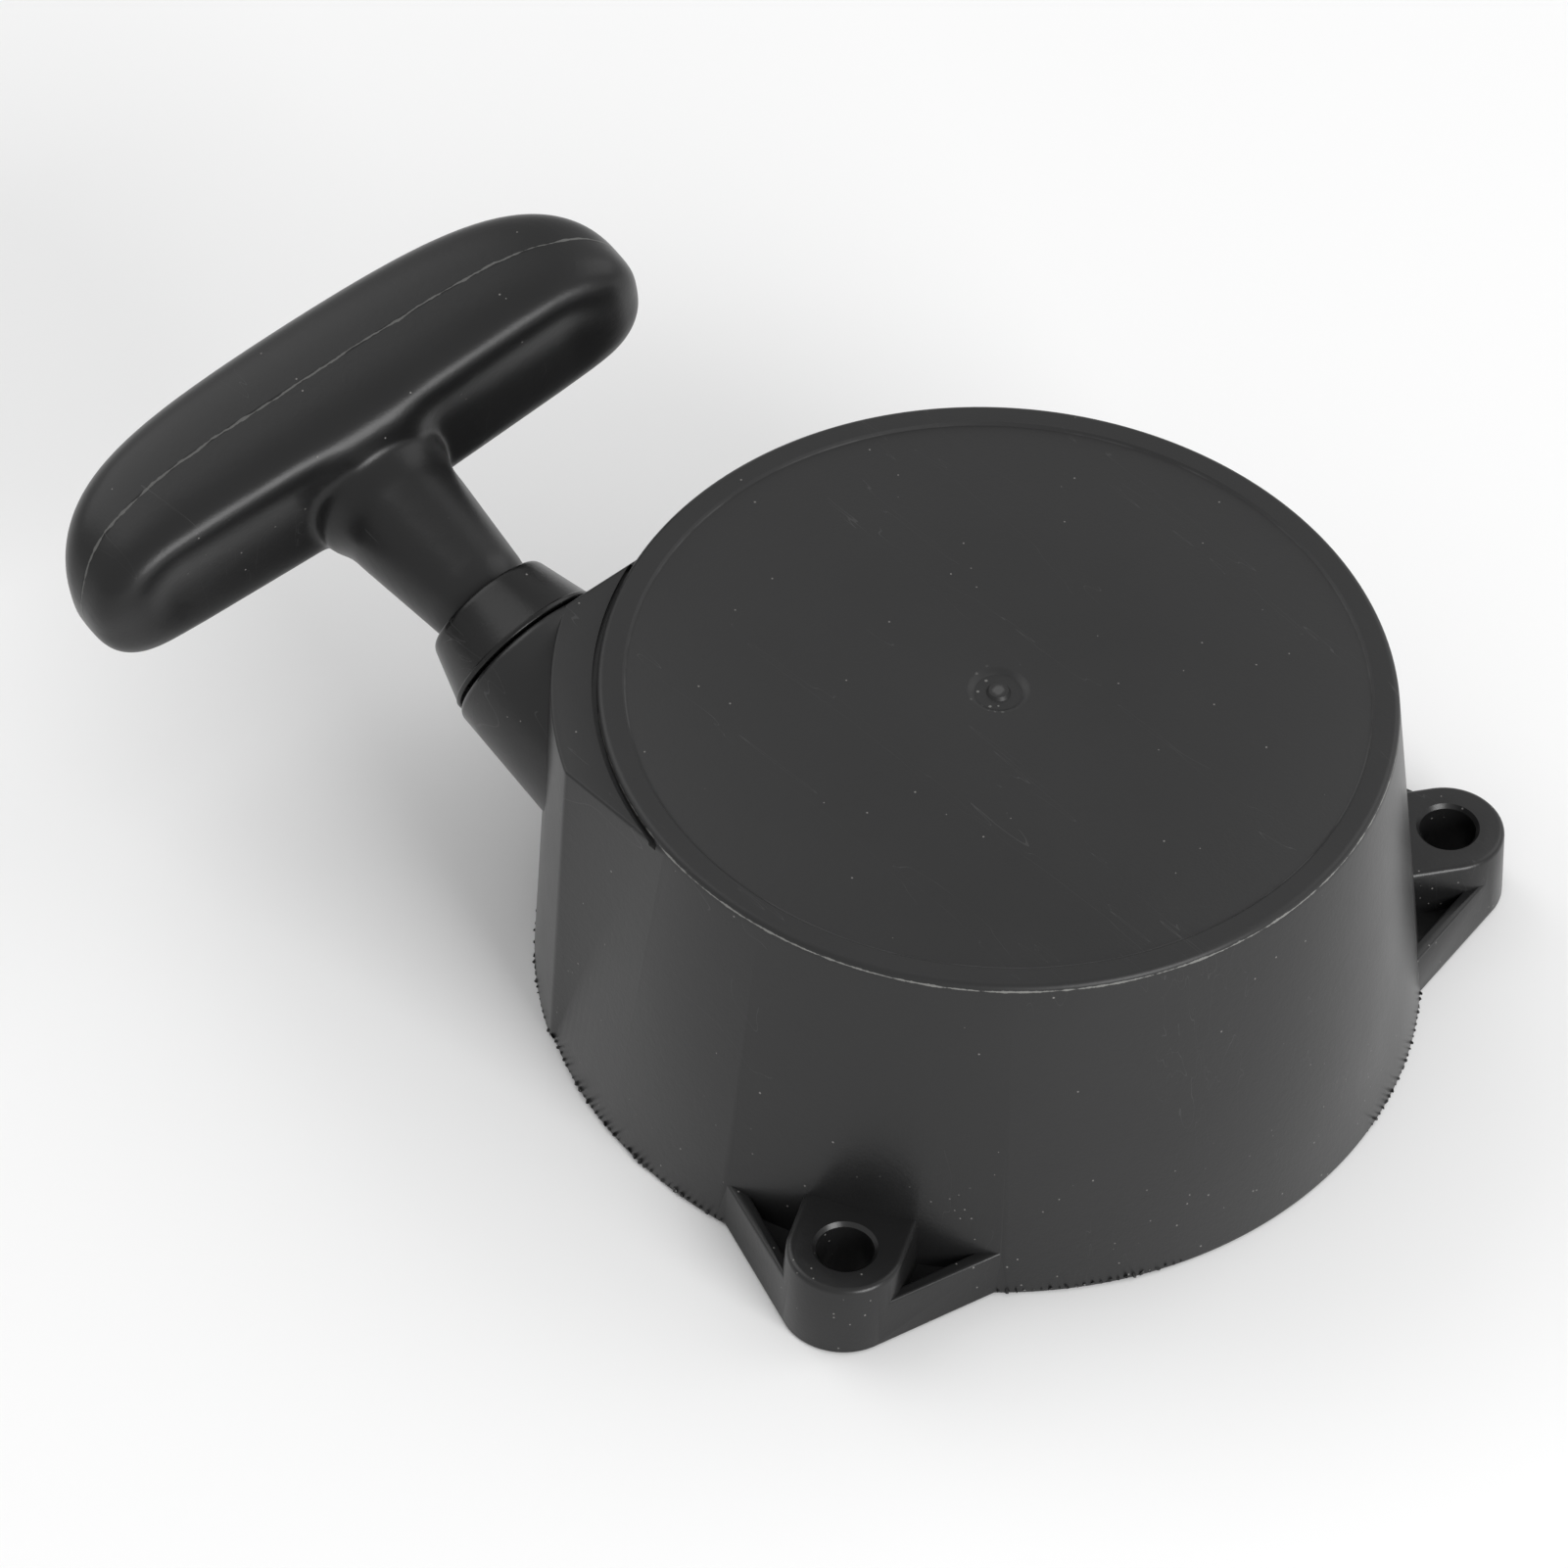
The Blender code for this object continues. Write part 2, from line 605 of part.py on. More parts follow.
def make_pull_handle(finish, frame, parts, cutters):
    """An arched grip lofted across Y, with a stem towards the mouth."""
    rings = 19
    steps = 20
    bm = bmesh.new()
    loops = []
    for ring in range(rings):
        across = math.sin(math.pi / 2 * (-1.0 + 2.0 * (ring + 0.35) / (rings - 0.3)))
        middle, depth, height = grip_section(across)
        loops.append([
            bm.verts.new((-middle - x, across * GRIP_LENGTH / 2, GRIP_RISE + z))
            for x, z in superellipse(depth, height, 3.8, steps)
        ])
    for first, second in zip(loops, loops[1:]):
        for step in range(steps):
            following = (step + 1) % steps
            bm.faces.new((first[step], first[following], second[following], second[step]))
    bm.faces.new(loops[0])
    bm.faces.new(loops[-1])
    handle = link_part("pull_handle", mesh_from(bm, "pull_handle"), finish, parts)

    mouth_angle = math.radians(40.0)
    nose = [
        (STEM_NOSE_RADIUS * x, STEM_NOSE_RADIUS * z)
        for z, x in arc(1.0, mouth_angle, math.pi / 2, 6)
    ]
    root = -STEM_LENGTH
    inside = root - GRIP_DEPTH / 2
    stem = turned(
        "stem",
        [(0.0, nose[0][1]), *nose, (STEM_ROOT_RADIUS, root + 3 * STEM_FLARE / 2),
         (STEM_ROOT_RADIUS + STEM_FLARE * 0.2, root + STEM_FLARE * 0.7),
         (STEM_ROOT_RADIUS + STEM_FLARE * 0.8, root + STEM_FLARE * 0.05),
         (STEM_ROOT_RADIUS + STEM_FLARE, root - 1.0 * MM),
         (STEM_ROOT_RADIUS, inside), (0.0, inside)],
        None, cutters, 32,
    )
    stem.rotation_euler = (0.0, math.radians(90.0), STEM_LEAN)
    join_to(handle, stem)

    back = STEM_LENGTH + GRIP_DEPTH
    hole = drill("rope_hole", ROPE_HOLE_RADIUS, 2 * back + 10.0 * MM, (0.0, 0.0, 0.0), (1, 0, 0), cutters, 20)
    recess_depth = KNOT_RECESS_DEPTH + 4.0 * MM
    recess_middle = (recess_depth / 2 - back - 4.0 * MM, 0.0, 0.0)
    recess = drill("knot_recess", KNOT_RECESS_RADIUS, recess_depth, recess_middle, (1, 0, 0), cutters, 28)
    reach = STEM_NOSE_RADIUS + 1.0 * MM
    swing = math.tan(HANDLE_SWING) * reach + ROPE_RADIUS / math.cos(HANDLE_SWING) + SEAT_GAP
    funnel_profile = [(0.0, reach), (swing, reach), (ROPE_HOLE_RADIUS, 0.0), (0.0, 0.0)]
    funnel = turned("nose_funnel", funnel_profile, None, cutters, 24)
    funnel.rotation_euler = (0.0, math.radians(90.0), 0.0)
    for piece in (handle, stem, hole, recess, funnel):
        piece.parent = frame
    cut_from(handle, hole, recess, funnel)
    return handle


def make_handle_hardware(steel, rope, frame, parts):
    """The washer and the knot in the recess, and the rope through the stem."""
    floor = KNOT_RECESS_DEPTH - STEM_LENGTH - GRIP_DEPTH
    washer_back = floor - SEAT_GAP - HANDLE_WASHER_THICKNESS
    washer = turned(
        "handle_washer",
        ring_profile(ROPE_HOLE_RADIUS, HANDLE_WASHER_RADIUS, washer_back, floor - SEAT_GAP),
        steel, parts, 28, closed=True,
    )
    washer.rotation_euler = (0.0, math.radians(90.0), 0.0)
    knot = knot_body("handle_knot", HANDLE_KNOT_RADIUS, rope, parts)
    knot.location = (washer_back - SEAT_GAP - HANDLE_KNOT_RADIUS, 0.0, 0.0)
    start = Vector((-PIVOT_ROPE_GAP, 0.0, 0.0))
    end = Vector((washer_back, 0.0, 0.0))
    tail = tube("rope_tail", [start, (start + end) / 2, end], ROPE_RADIUS, rope, parts)
    for piece in (washer, knot, tail):
        piece.parent = frame


def knot_body(name, radius, finish, parts):
    """A lumpy ball with three lobes, as a rope's overhand knot makes."""
    bm = bmesh.new()
    bmesh.ops.create_uvsphere(bm, u_segments=12, v_segments=8, radius=radius)
    for vert in bm.verts:
        angle = math.atan2(vert.co.y, vert.co.z)
        level = vert.co.x / radius
        size = 0.93 + 0.07 * math.cos(3.0 * angle + 2.5 * level)
        vert.co = Vector((vert.co.x, vert.co.y * size, vert.co.z * size))
    return link_part(name, mesh_from(bm, name), finish, parts)


def make_rope_throat(rope, parts):
    start = OUTLET_POINT + OUTLET_AXIS * SHELF_GAP
    end = PIVOT - OUTLET_AXIS * PIVOT_ROPE_GAP
    return tube("rope_throat", [start, (start + end) / 2, end], ROPE_RADIUS, rope, parts)


def make_rope_lead(rope, parts):
    """The run to the outlet: the loose outermost layer round the wound turns, then level, then up the outlet's axis."""
    height = REEL_GROOVE_MIDDLE + ROPE_COLUMN_PITCH / 2
    bend_x = OUTLET_X + (OUTLET_Z - height) / math.tan(OUTLET_TILT)
    bend = Vector((bend_x, OUTLET_Y, height))
    before = bend + Vector((BEND_EASE, 0.0, 0.0))
    after = bend + OUTLET_AXIS * BEND_EASE
    points = rope_turns(ROPE_LAYERS * ROPE_COLUMNS, ROPE_COLUMNS)
    points.append(points[-1].lerp(before, 0.5))
    for step in range(BEND_STEPS + 1):
        share = step / BEND_STEPS
        points.append(before.lerp(bend, share).lerp(bend.lerp(after, share), share))
    points.append(OUTLET_POINT)
    return tube("rope_lead", points, ROPE_RADIUS, rope, parts)


def make_rope_winding(rope, parts):
    return tube("rope_winding", rope_turns(0, ROPE_LAYERS * ROPE_COLUMNS), ROPE_RADIUS, rope, parts)


def rope_turns(first_place, places):
    """The rope's centre line over some turns. In one sector, each turn in succession steps on to the next place."""
    last_place = places - 1
    length = places * ROPE_TURN_SEGMENTS - ROPE_STEP_DELAY - last_place * ROPE_STEP_SEGMENTS
    points = []
    for step in range(length, -1, -1):
        place = last_place
        for turn in range(1, places):
            begin = turn * ROPE_TURN_SEGMENTS - ROPE_STEP_DELAY - (turn - 1) * ROPE_STEP_SEGMENTS
            place -= min(max((step - begin) / ROPE_STEP_SEGMENTS + 1.0, 0.0), 1.0)
        lower = min(int(place), last_place - 1)
        share = place - lower
        near = turn_place(first_place + lower)
        far = turn_place(first_place + lower + 1)
        radius = near[0] + (far[0] - near[0]) * share
        height = near[1] + (far[1] - near[1]) * share
        angle = 2.0 * math.pi * (step / ROPE_TURN_SEGMENTS - 0.25)
        points.append(Vector(polar(radius, angle, height)))
    return points


def turn_place(whole):
    """Radius and height of one whole turn. Odd layers run back down the groove."""
    layer, column = divmod(whole, ROPE_COLUMNS)
    if layer % 2:
        column = ROPE_COLUMNS - 1 - column
    radius = ROPE_OUTER_LAYER + (layer + 1 - ROPE_LAYERS) * ROPE_LAYER_PITCH
    height = REEL_GROOVE_MIDDLE + (column - (ROPE_COLUMNS - 1) / 2) * ROPE_COLUMN_PITCH
    return radius, height


# ---------------------------------------------------------------- reel, spring and centre


def make_reel(finish, parts, cutters):
    bore = POST_RADIUS + RUNNING_GAP
    hub_top = SPRING_TOP - SHELF_GAP
    rim = 0.4 * MM
    reel = turned(
        "reel",
        [
            (bore, hub_top),
            (REEL_HUB_RADIUS - rim, hub_top),
            (REEL_HUB_RADIUS, hub_top - rim),
            (REEL_HUB_RADIUS, REEL_TOP),
            (REEL_FLANGE_RADIUS - rim, REEL_TOP),
            (REEL_FLANGE_RADIUS, REEL_TOP - rim),
            (REEL_FLANGE_RADIUS, GROOVE_TOP),
            (REEL_CORE_RADIUS, GROOVE_TOP),
            (REEL_CORE_RADIUS, GROOVE_BOTTOM),
            (REEL_FLANGE_RADIUS, GROOVE_BOTTOM),
            (REEL_FLANGE_RADIUS, REEL_BOTTOM + rim),
            (REEL_FLANGE_RADIUS - rim, REEL_BOTTOM),
            (bore, REEL_BOTTOM),
        ],
        finish, parts, REEL_SEGMENTS, closed=True,
    )
    slot_height = hub_top - COVER_BOTTOM
    slot = block(
        "hub_slot", (4.0 * MM, REEL_HUB_SLOT, slot_height),
        (REEL_HUB_RADIUS, 0.0, hub_top - slot_height / 2 + SHELF_GAP), None, cutters,
    )
    cut_from(reel, slot)
    for index, angle in enumerate(pawl_angles()):
        spot = polar(PAWL_CIRCLE_RADIUS, angle, REEL_BOTTOM)
        cut_from(reel, drill(f"pawl_pin_hole_{index + 1}", PAWL_PIN_RADIUS + SEAT_GAP,
                             2 * (PAWL_PIN_DEPTH + SEAT_GAP), spot, (0, 0, 1), cutters, 20))
    pocket_depth = 2 * REEL_KNOT_RADIUS + 2 * SHELF_GAP
    cut_from(reel, drill("reel_knot_pocket", REEL_KNOT_RADIUS + SHELF_GAP, 2 * pocket_depth,
                         polar(REEL_KNOT_PLACE, REEL_KNOT_ANGLE, REEL_BOTTOM), (0, 0, 1), cutters, 24))
    return reel


def make_reel_knot(rope, parts):
    knot = knot_body("reel_knot", REEL_KNOT_RADIUS, rope, parts)
    knot.location = polar(REEL_KNOT_PLACE, REEL_KNOT_ANGLE, REEL_BOTTOM + REEL_KNOT_RADIUS + SHELF_GAP)
    return knot


def make_spring_case(finish, parts):
    inner = SPRING_CASE_RADIUS - SPRING_CASE_SHEET
    hole = POST_RADIUS + 2.0 * MM
    outline = [
        (hole, CASE_TOP),
        (SPRING_CASE_RADIUS - 0.6 * MM, CASE_TOP),
        (SPRING_CASE_RADIUS, CASE_TOP - 0.6 * MM),
        (SPRING_CASE_RADIUS, CASE_BOTTOM),
        (inner, CASE_BOTTOM),
        (inner, CASE_INNER_TOP),
        (hole, CASE_INNER_TOP),
    ]
    return turned("spring_case", outline, finish, parts, 64, closed=True)


def make_recoil_spring(finish, parts):
    """A flat strip on edge, wound outwards to the case, with a hook bent in at its inner end."""
    inner = REEL_HUB_RADIUS + 1.6 * MM
    outer = SPRING_CASE_RADIUS - SPRING_CASE_SHEET - SPRING_STRIP - SEAT_GAP
    steps = SPRING_TURNS * SPRING_STEPS_PER_TURN
    half = SPRING_STRIP / 2
    near, far = [], []
    for step in range(steps + 1):
        share = step / steps
        packed = share**0.8
        radius = inner + (outer - inner) * packed
        angle = 2.0 * math.pi * SPRING_TURNS * share
        near.append(((radius - half) * math.cos(angle), (radius - half) * math.sin(angle)))
        far.append(((radius + half) * math.cos(angle), (radius + half) * math.sin(angle)))
    hook = REEL_HUB_RADIUS + SEAT_GAP
    outline = [(hook, 0.0), *far, *reversed(near[2:]), (inner - half, SPRING_STRIP), (hook, SPRING_STRIP)]
    return prism("recoil_spring", outline, outline, SPRING_BOTTOM, SPRING_TOP, finish, parts)


def make_spring_cover(finish, parts, cutters):
    cover = turned(
        "spring_cover",
        ring_profile(REEL_HUB_RADIUS + SHELF_GAP, COVER_RADIUS, COVER_BOTTOM, COVER_TOP),
        finish, parts, 64, closed=True,
    )
    for index, angle in enumerate(COVER_SCREW_ANGLES):
        spot = polar(COVER_SCREW_CIRCLE, angle, COVER_TOP)
        cut_from(cover, drill(f"cover_hole_{index + 1}", COVER_SCREW_RADIUS + SEAT_GAP, 4 * COVER_SHEET, spot,
                              (0, 0, 1), cutters, 16))
    return cover


def pan_screw_profile(head_radius, head_height, shank_radius, shank_length):
    """A pan head whose seat is at height 0 with its dome below, and a pointed shank above."""
    dome = [
        (head_radius, 0.0),
        (head_radius, -head_height * 0.35),
        (head_radius * 0.9, -head_height * 0.75),
        (head_radius * 0.6, -head_height),
        (0.0, -head_height),
    ]
    tip = shank_length - shank_radius
    return [(0.0, shank_length), (shank_radius * 0.4, shank_length), (shank_radius, tip), (shank_radius, 0.0),
            *dome]


def add_cross_recess(screw, radius, depth, head_height, cutters):
    for index, size in enumerate(((radius, radius / 4, depth), (radius / 4, radius, depth))):
        recess = block(f"{screw.name}_recess_{index + 1}", size, (0.0, 0.0, -head_height), None, cutters)
        recess.parent = screw
        cut_from(screw, recess)


def make_cover_screws(finish, parts, cutters):
    made = []
    for index, angle in enumerate(COVER_SCREW_ANGLES):
        screw = turned(
            f"cover_screw_{index + 1}",
            pan_screw_profile(COVER_HEAD_RADIUS, COVER_HEAD_HEIGHT, COVER_SCREW_RADIUS,
                              COVER_SCREW_LENGTH + COVER_SHEET),
            finish, parts, 16,
        )
        screw.location = polar(COVER_SCREW_CIRCLE, angle, COVER_BOTTOM - SEAT_GAP)
        add_cross_recess(screw, 1.2 * COVER_HEAD_RADIUS, COVER_HEAD_HEIGHT, COVER_HEAD_HEIGHT, cutters)
        made.append(screw)
    return made


def make_post_insert(finish, parts):
    bottom = POST_END + SHELF_GAP
    bore = CENTRE_SCREW_RADIUS + SEAT_GAP
    outline = [
        (bore, bottom + INSERT_LENGTH),
        (INSERT_RADIUS, bottom + INSERT_LENGTH),
        (INSERT_RADIUS, bottom + INSERT_LENGTH * 0.55),
        (INSERT_RADIUS - 0.4 * MM, bottom + INSERT_LENGTH * 0.52),
        (INSERT_RADIUS - 0.4 * MM, bottom + INSERT_LENGTH * 0.48),
        (INSERT_RADIUS, bottom + INSERT_LENGTH * 0.45),
        (INSERT_RADIUS, bottom),
        (bore, bottom),
    ]
    return turned("post_insert", outline, finish, parts, 24, closed=True)


def make_centre_stack(steel, spring_steel, parts, cutters):
    washer_top = POST_END - SEAT_GAP
    washer = turned(
        "retainer_washer",
        ring_profile(CENTRE_SCREW_RADIUS + SEAT_GAP, WASHER_RADIUS, washer_top - WASHER_THICKNESS, washer_top),
        steel, parts, 40, closed=True,
    )
    screw = turned(
        "centre_screw",
        pan_screw_profile(CENTRE_HEAD_RADIUS, CENTRE_HEAD_HEIGHT, CENTRE_SCREW_RADIUS, CENTRE_SCREW_LENGTH),
        steel, parts, 32,
    )
    screw.location = (0.0, 0.0, washer_top - WASHER_THICKNESS - SEAT_GAP)
    add_cross_recess(screw, 1.1 * CENTRE_HEAD_RADIUS, CENTRE_HEAD_HEIGHT, CENTRE_HEAD_HEIGHT, cutters)

    low = washer_top + SEAT_GAP + FRICTION_WIRE_RADIUS
    high = PLATE_BOTTOM - SEAT_GAP - FRICTION_WIRE_RADIUS
    steps = FRICTION_TURNS * 18
    points = [
        Vector(polar(FRICTION_COIL_RADIUS, 2.0 * math.pi * FRICTION_TURNS * step / steps,
                     low + (high - low) * step / steps))
        for step in range(steps + 1)
    ]
    friction = tube("friction_spring", points, FRICTION_WIRE_RADIUS, spring_steel, parts)
    return washer, screw, friction


# ---------------------------------------------------------------- pawls


def pawl_angles():
    return (math.radians(90.0), math.radians(270.0))


def pawl_outline():
    """In the pawl's own frame: its pin at the origin and its nose along +X."""
    return wrap([
        *circle(PAWL_EYE_RADIUS, (0.0, 0.0), 18),
        *circle(PAWL_TIP_RADIUS, (PAWL_REACH, -2.0 * MM), 10),
    ])


def make_pawls(finish, parts, cutters):
    made = []
    for index, angle in enumerate(pawl_angles()):
        name = f"pawl_{index + 1}"
        pawl = prism(name, pawl_outline(), pawl_outline(), PAWL_BOTTOM, PAWL_TOP, finish, parts)
        peg_bottom = PLATE_BOTTOM - SEAT_GAP
        peg_top = PAWL_BOTTOM + PAWL_THICKNESS / 2
        peg = drill(f"{name}_peg", PAWL_PEG_RADIUS, peg_top - peg_bottom,
                    (PAWL_PEG_REACH, -0.5 * MM, (peg_top + peg_bottom) / 2), (0, 0, 1), cutters, 14)
        hole = drill(f"{name}_hole", PAWL_PIN_RADIUS + RUNNING_GAP, 3 * PAWL_THICKNESS,
                     (0.0, 0.0, PAWL_BOTTOM), (0, 0, 1), cutters, 20)
        for helper in (peg, hole):
            helper.parent = pawl
        join_to(pawl, peg)
        cut_from(pawl, hole)
        pawl.location = polar(PAWL_CIRCLE_RADIUS, angle, 0.0)
        pawl.rotation_euler = (0.0, 0.0, angle - math.radians(90.0))
        made.append(pawl)
    return made


def make_pawl_pins(finish, parts):
    made = []
    for index, angle in enumerate(pawl_angles()):
        bottom = PAWL_BOTTOM
        top = REEL_BOTTOM + PAWL_PIN_DEPTH
        edge = 0.4 * MM
        profile = [(0.0, top), (PAWL_PIN_RADIUS - edge, top), (PAWL_PIN_RADIUS, top - edge),
                   (PAWL_PIN_RADIUS, bottom + edge), (PAWL_PIN_RADIUS - edge, bottom), (0.0, bottom)]
        pin = turned(f"pawl_pin_{index + 1}", profile, finish, parts, 20)
        pin.location = polar(PAWL_CIRCLE_RADIUS, angle, 0.0)
        made.append(pin)
    return made


def peg_track():
    """Where a pawl's peg passes, in the plate's frame, as the plate turns and the pawl swings out."""
    track = []
    for step in range(PLATE_SLOT_STEPS):
        share = step / (PLATE_SLOT_STEPS - 1)
        swing = Matrix.Rotation(PAWL_SWING * share, 2)
        peg = swing @ Vector((PAWL_PEG_REACH, -0.5 * MM)) + Vector((0.0, PAWL_CIRCLE_RADIUS))
        track.append(Matrix.Rotation(-PLATE_TURN * share, 2) @ peg)
    return track


def make_pawl_plate(finish, parts, cutters):
    track = peg_track()
    lobes = []
    for side in (1.0, -1.0):
        for spot in (track[0], track[-1]):
            lobes += circle(PLATE_LOBE_RADIUS, (side * spot.x, side * spot.y), 16)
    outline = wrap([*circle(PLATE_HUB_RADIUS, (0.0, 0.0), 32), *lobes])
    plate = prism("pawl_plate", outline, outline, PLATE_BOTTOM, PLATE_TOP, finish, parts)
    cut_from(plate, drill("plate_bore", POST_RADIUS + SEAT_GAP, 4 * PLATE_THICKNESS,
                          (0.0, 0.0, PLATE_TOP), (0, 0, 1), cutters, 48))
    for side in (1.0, -1.0):
        for index, spot in enumerate(track):
            name = f"plate_slot_{'a' if side > 0 else 'b'}_{index + 1}"
            cut_from(plate, drill(name, PAWL_PEG_RADIUS + SEAT_GAP, 4 * PLATE_THICKNESS,
                                  (side * spot.x, side * spot.y, PLATE_TOP), (0, 0, 1), cutters, 16))
    return plate


def stand_on_origin(parts, cutters):
    """Hangs everything on one empty, placed so that the whole object's box is centred on the origin."""
    bpy.context.view_layer.update()
    graph = bpy.context.evaluated_depsgraph_get()
    lows, highs = [], []
    for obj in parts.objects:
        if obj.type == "EMPTY":
            continue
        evaluated = obj.evaluated_get(graph)
        mesh = evaluated.to_mesh()
        spots = np.empty(len(mesh.vertices) * 3)
        mesh.vertices.foreach_get("co", spots)
        evaluated.to_mesh_clear()
        world = np.array(evaluated.matrix_world)
        spots = spots.reshape(-1, 3) @ world[:3, :3].T + world[:3, 3]
        lows.append(spots.min(axis=0))
        highs.append(spots.max(axis=0))
    low = np.min(lows, axis=0)
    high = np.max(highs, axis=0)
    root = bpy.data.objects.new("mounting_plane", None)
    root.empty_display_size = 20.0 * MM
    root.location = (-(low[0] + high[0]) / 2, -(low[1] + high[1]) / 2, -low[2])
    for obj in [*parts.objects, *cutters.objects]:
        if obj.parent is None:
            obj.parent = root
    parts.objects.link(root)


def hide_cutters(cutters):
    for obj in cutters.objects:
        obj.hide_render = True
        obj.display_type = "WIRE"


def main():
    clear_scene()
    parts = new_collection("recoil_starter")
    cutters = new_collection("cutters")

    black_nylon = material("black_nylon", (0.045, 0.045, 0.047), 0.48, 0.0)
    grip_plastic = material("grip_plastic", (0.038, 0.038, 0.04), 0.42, 0.0)
    guide_plastic = material("guide_plastic", (0.03, 0.03, 0.031), 0.36, 0.0)
    reel_plastic = material("reel_plastic", (0.62, 0.6, 0.55), 0.45, 0.0)
    rope = material("braided_rope", (0.72, 0.71, 0.68), 0.85, 0.0)
    plated_steel = material("plated_steel", (0.62, 0.62, 0.63), 0.34, 1.0)
    spring_steel = material("spring_steel", (0.28, 0.3, 0.34), 0.3, 1.0)
    brass = material("insert_brass", (0.72, 0.55, 0.26), 0.35, 1.0)
    hard_steel = material("hardened_steel", (0.36, 0.36, 0.37), 0.38, 1.0)

    make_casing(black_nylon, parts, cutters)
    make_post_insert(brass, parts)
    make_rope_guide(guide_plastic, parts)
    handle_frame = make_handle_frame(parts)
    make_pull_handle(grip_plastic, handle_frame, parts, cutters)
    make_handle_hardware(plated_steel, rope, handle_frame, parts)
    make_rope_throat(rope, parts)
    make_rope_lead(rope, parts)
    make_rope_winding(rope, parts)
    make_reel(reel_plastic, parts, cutters)
    make_reel_knot(rope, parts)
    make_spring_case(plated_steel, parts)
    make_recoil_spring(spring_steel, parts)
    make_spring_cover(plated_steel, parts, cutters)
    make_cover_screws(plated_steel, parts, cutters)
    make_centre_stack(plated_steel, spring_steel, parts, cutters)
    make_pawls(hard_steel, parts, cutters)
    make_pawl_pins(hard_steel, parts)
    make_pawl_plate(plated_steel, parts, cutters)
    stand_on_origin(parts, cutters)
    hide_cutters(cutters)


main()
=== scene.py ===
"""Recoil starter: the look of the moulded cup, rope guide, T-handle, rope, reel and spring."""

import json
import math

import bmesh
import bpy
from mathutils import Matrix, Vector

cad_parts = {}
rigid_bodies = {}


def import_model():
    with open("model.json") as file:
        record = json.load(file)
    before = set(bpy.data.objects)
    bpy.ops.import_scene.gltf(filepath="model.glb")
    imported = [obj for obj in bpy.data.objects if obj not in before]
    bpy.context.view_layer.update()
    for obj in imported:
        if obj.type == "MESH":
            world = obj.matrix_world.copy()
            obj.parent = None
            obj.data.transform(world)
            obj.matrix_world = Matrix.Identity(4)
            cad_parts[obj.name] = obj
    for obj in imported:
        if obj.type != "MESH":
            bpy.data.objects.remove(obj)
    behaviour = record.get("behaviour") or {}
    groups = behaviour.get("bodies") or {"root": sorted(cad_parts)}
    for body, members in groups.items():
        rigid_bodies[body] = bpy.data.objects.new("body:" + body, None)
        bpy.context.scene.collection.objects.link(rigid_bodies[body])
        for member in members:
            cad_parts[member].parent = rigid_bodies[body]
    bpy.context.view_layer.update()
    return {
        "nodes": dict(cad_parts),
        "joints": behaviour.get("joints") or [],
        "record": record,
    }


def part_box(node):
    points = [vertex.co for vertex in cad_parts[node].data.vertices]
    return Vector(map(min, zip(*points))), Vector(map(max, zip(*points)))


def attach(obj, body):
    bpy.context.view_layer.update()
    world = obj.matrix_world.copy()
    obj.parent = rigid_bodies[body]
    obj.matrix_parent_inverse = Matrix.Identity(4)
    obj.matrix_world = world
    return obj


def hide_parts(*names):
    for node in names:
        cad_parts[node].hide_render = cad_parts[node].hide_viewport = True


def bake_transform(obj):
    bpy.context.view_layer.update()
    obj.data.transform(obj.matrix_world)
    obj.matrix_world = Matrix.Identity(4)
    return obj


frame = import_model()

MM = 0.001

# Sizes shared by several pieces, as in the cup's design.
CUP_HEIGHT = 47.5 * MM
CUP_TOP_RADIUS = 48.0 * MM
CUP_BASE_RADIUS = 54.3 * MM
CUP_WALL = 2.5 * MM
PANEL_RADIUS = 44.5 * MM
BLOCK_TOP = 46.6 * MM
BLOCK_REACH_X = 45.0 * MM
BLOCK_REACH_Y = 47.5 * MM
BLOCK_CORNER_RADIUS = 53.5 * MM
BLOCK_DRAFT = 1.1 * MM
POST_RADIUS = 7.0 * MM
POST_END = 17.8 * MM
EAR_ANGLES = (math.radians(180.0), math.radians(60.0), math.radians(-60.0))
EAR_CIRCLE_RADIUS = 59.0 * MM
EAR_BOSS_RADIUS = 7.6 * MM
EAR_BOSS_HEIGHT = 10.6 * MM
EAR_DRAFT = 0.6 * MM
EAR_HOLE_RADIUS = 3.5 * MM
EAR_WEB_HEIGHT = 6.4 * MM
EAR_WEB_SPREAD = 17.8 * MM
EAR_WEB_INNER = 50.5 * MM
EAR_TRAY_DEPTH = 2.6 * MM
EAR_TRAY_WALL = 1.5 * MM
OUTLET_POINT = Vector((-48.6, -31.4, 36.7)) * MM
OUTLET_TILT = math.radians(19.2)
OUTLET_AXIS = Vector((-math.cos(OUTLET_TILT), 0.0, math.sin(OUTLET_TILT)))
SNOUT_RADIUS = 10.9 * MM
GUIDE_LENGTH = 8.1 * MM
PIVOT_REACH = 10.5 * MM
PIVOT = OUTLET_POINT + OUTLET_AXIS * PIVOT_REACH
COVER_SCREW_ANGLES = (math.radians(0.0), math.radians(120.0), math.radians(255.0))
COVER_SCREW_CIRCLE = 41.5 * MM

# The handle seated in the guide: turned in plan, tipped along its stem, then rolled about it.
HANDLE_FRAME = (
    Matrix.Translation(PIVOT)
    @ Matrix.Rotation(math.radians(-7.5), 4, "Z")
    @ Matrix.Rotation(math.radians(5.2), 4, "Y")
    @ Matrix.Rotation(math.radians(13.0), 4, "X")
)
STEM_LENGTH = 17.9 * MM
STEM_LEAN = math.radians(2.2)
GRIP_LENGTH = 80.6 * MM
GRIP_DEPTH = 22.6 * MM
GRIP_RISE = 3.6 * MM
HANDLE_BORE_RADIUS = 2.3 * MM

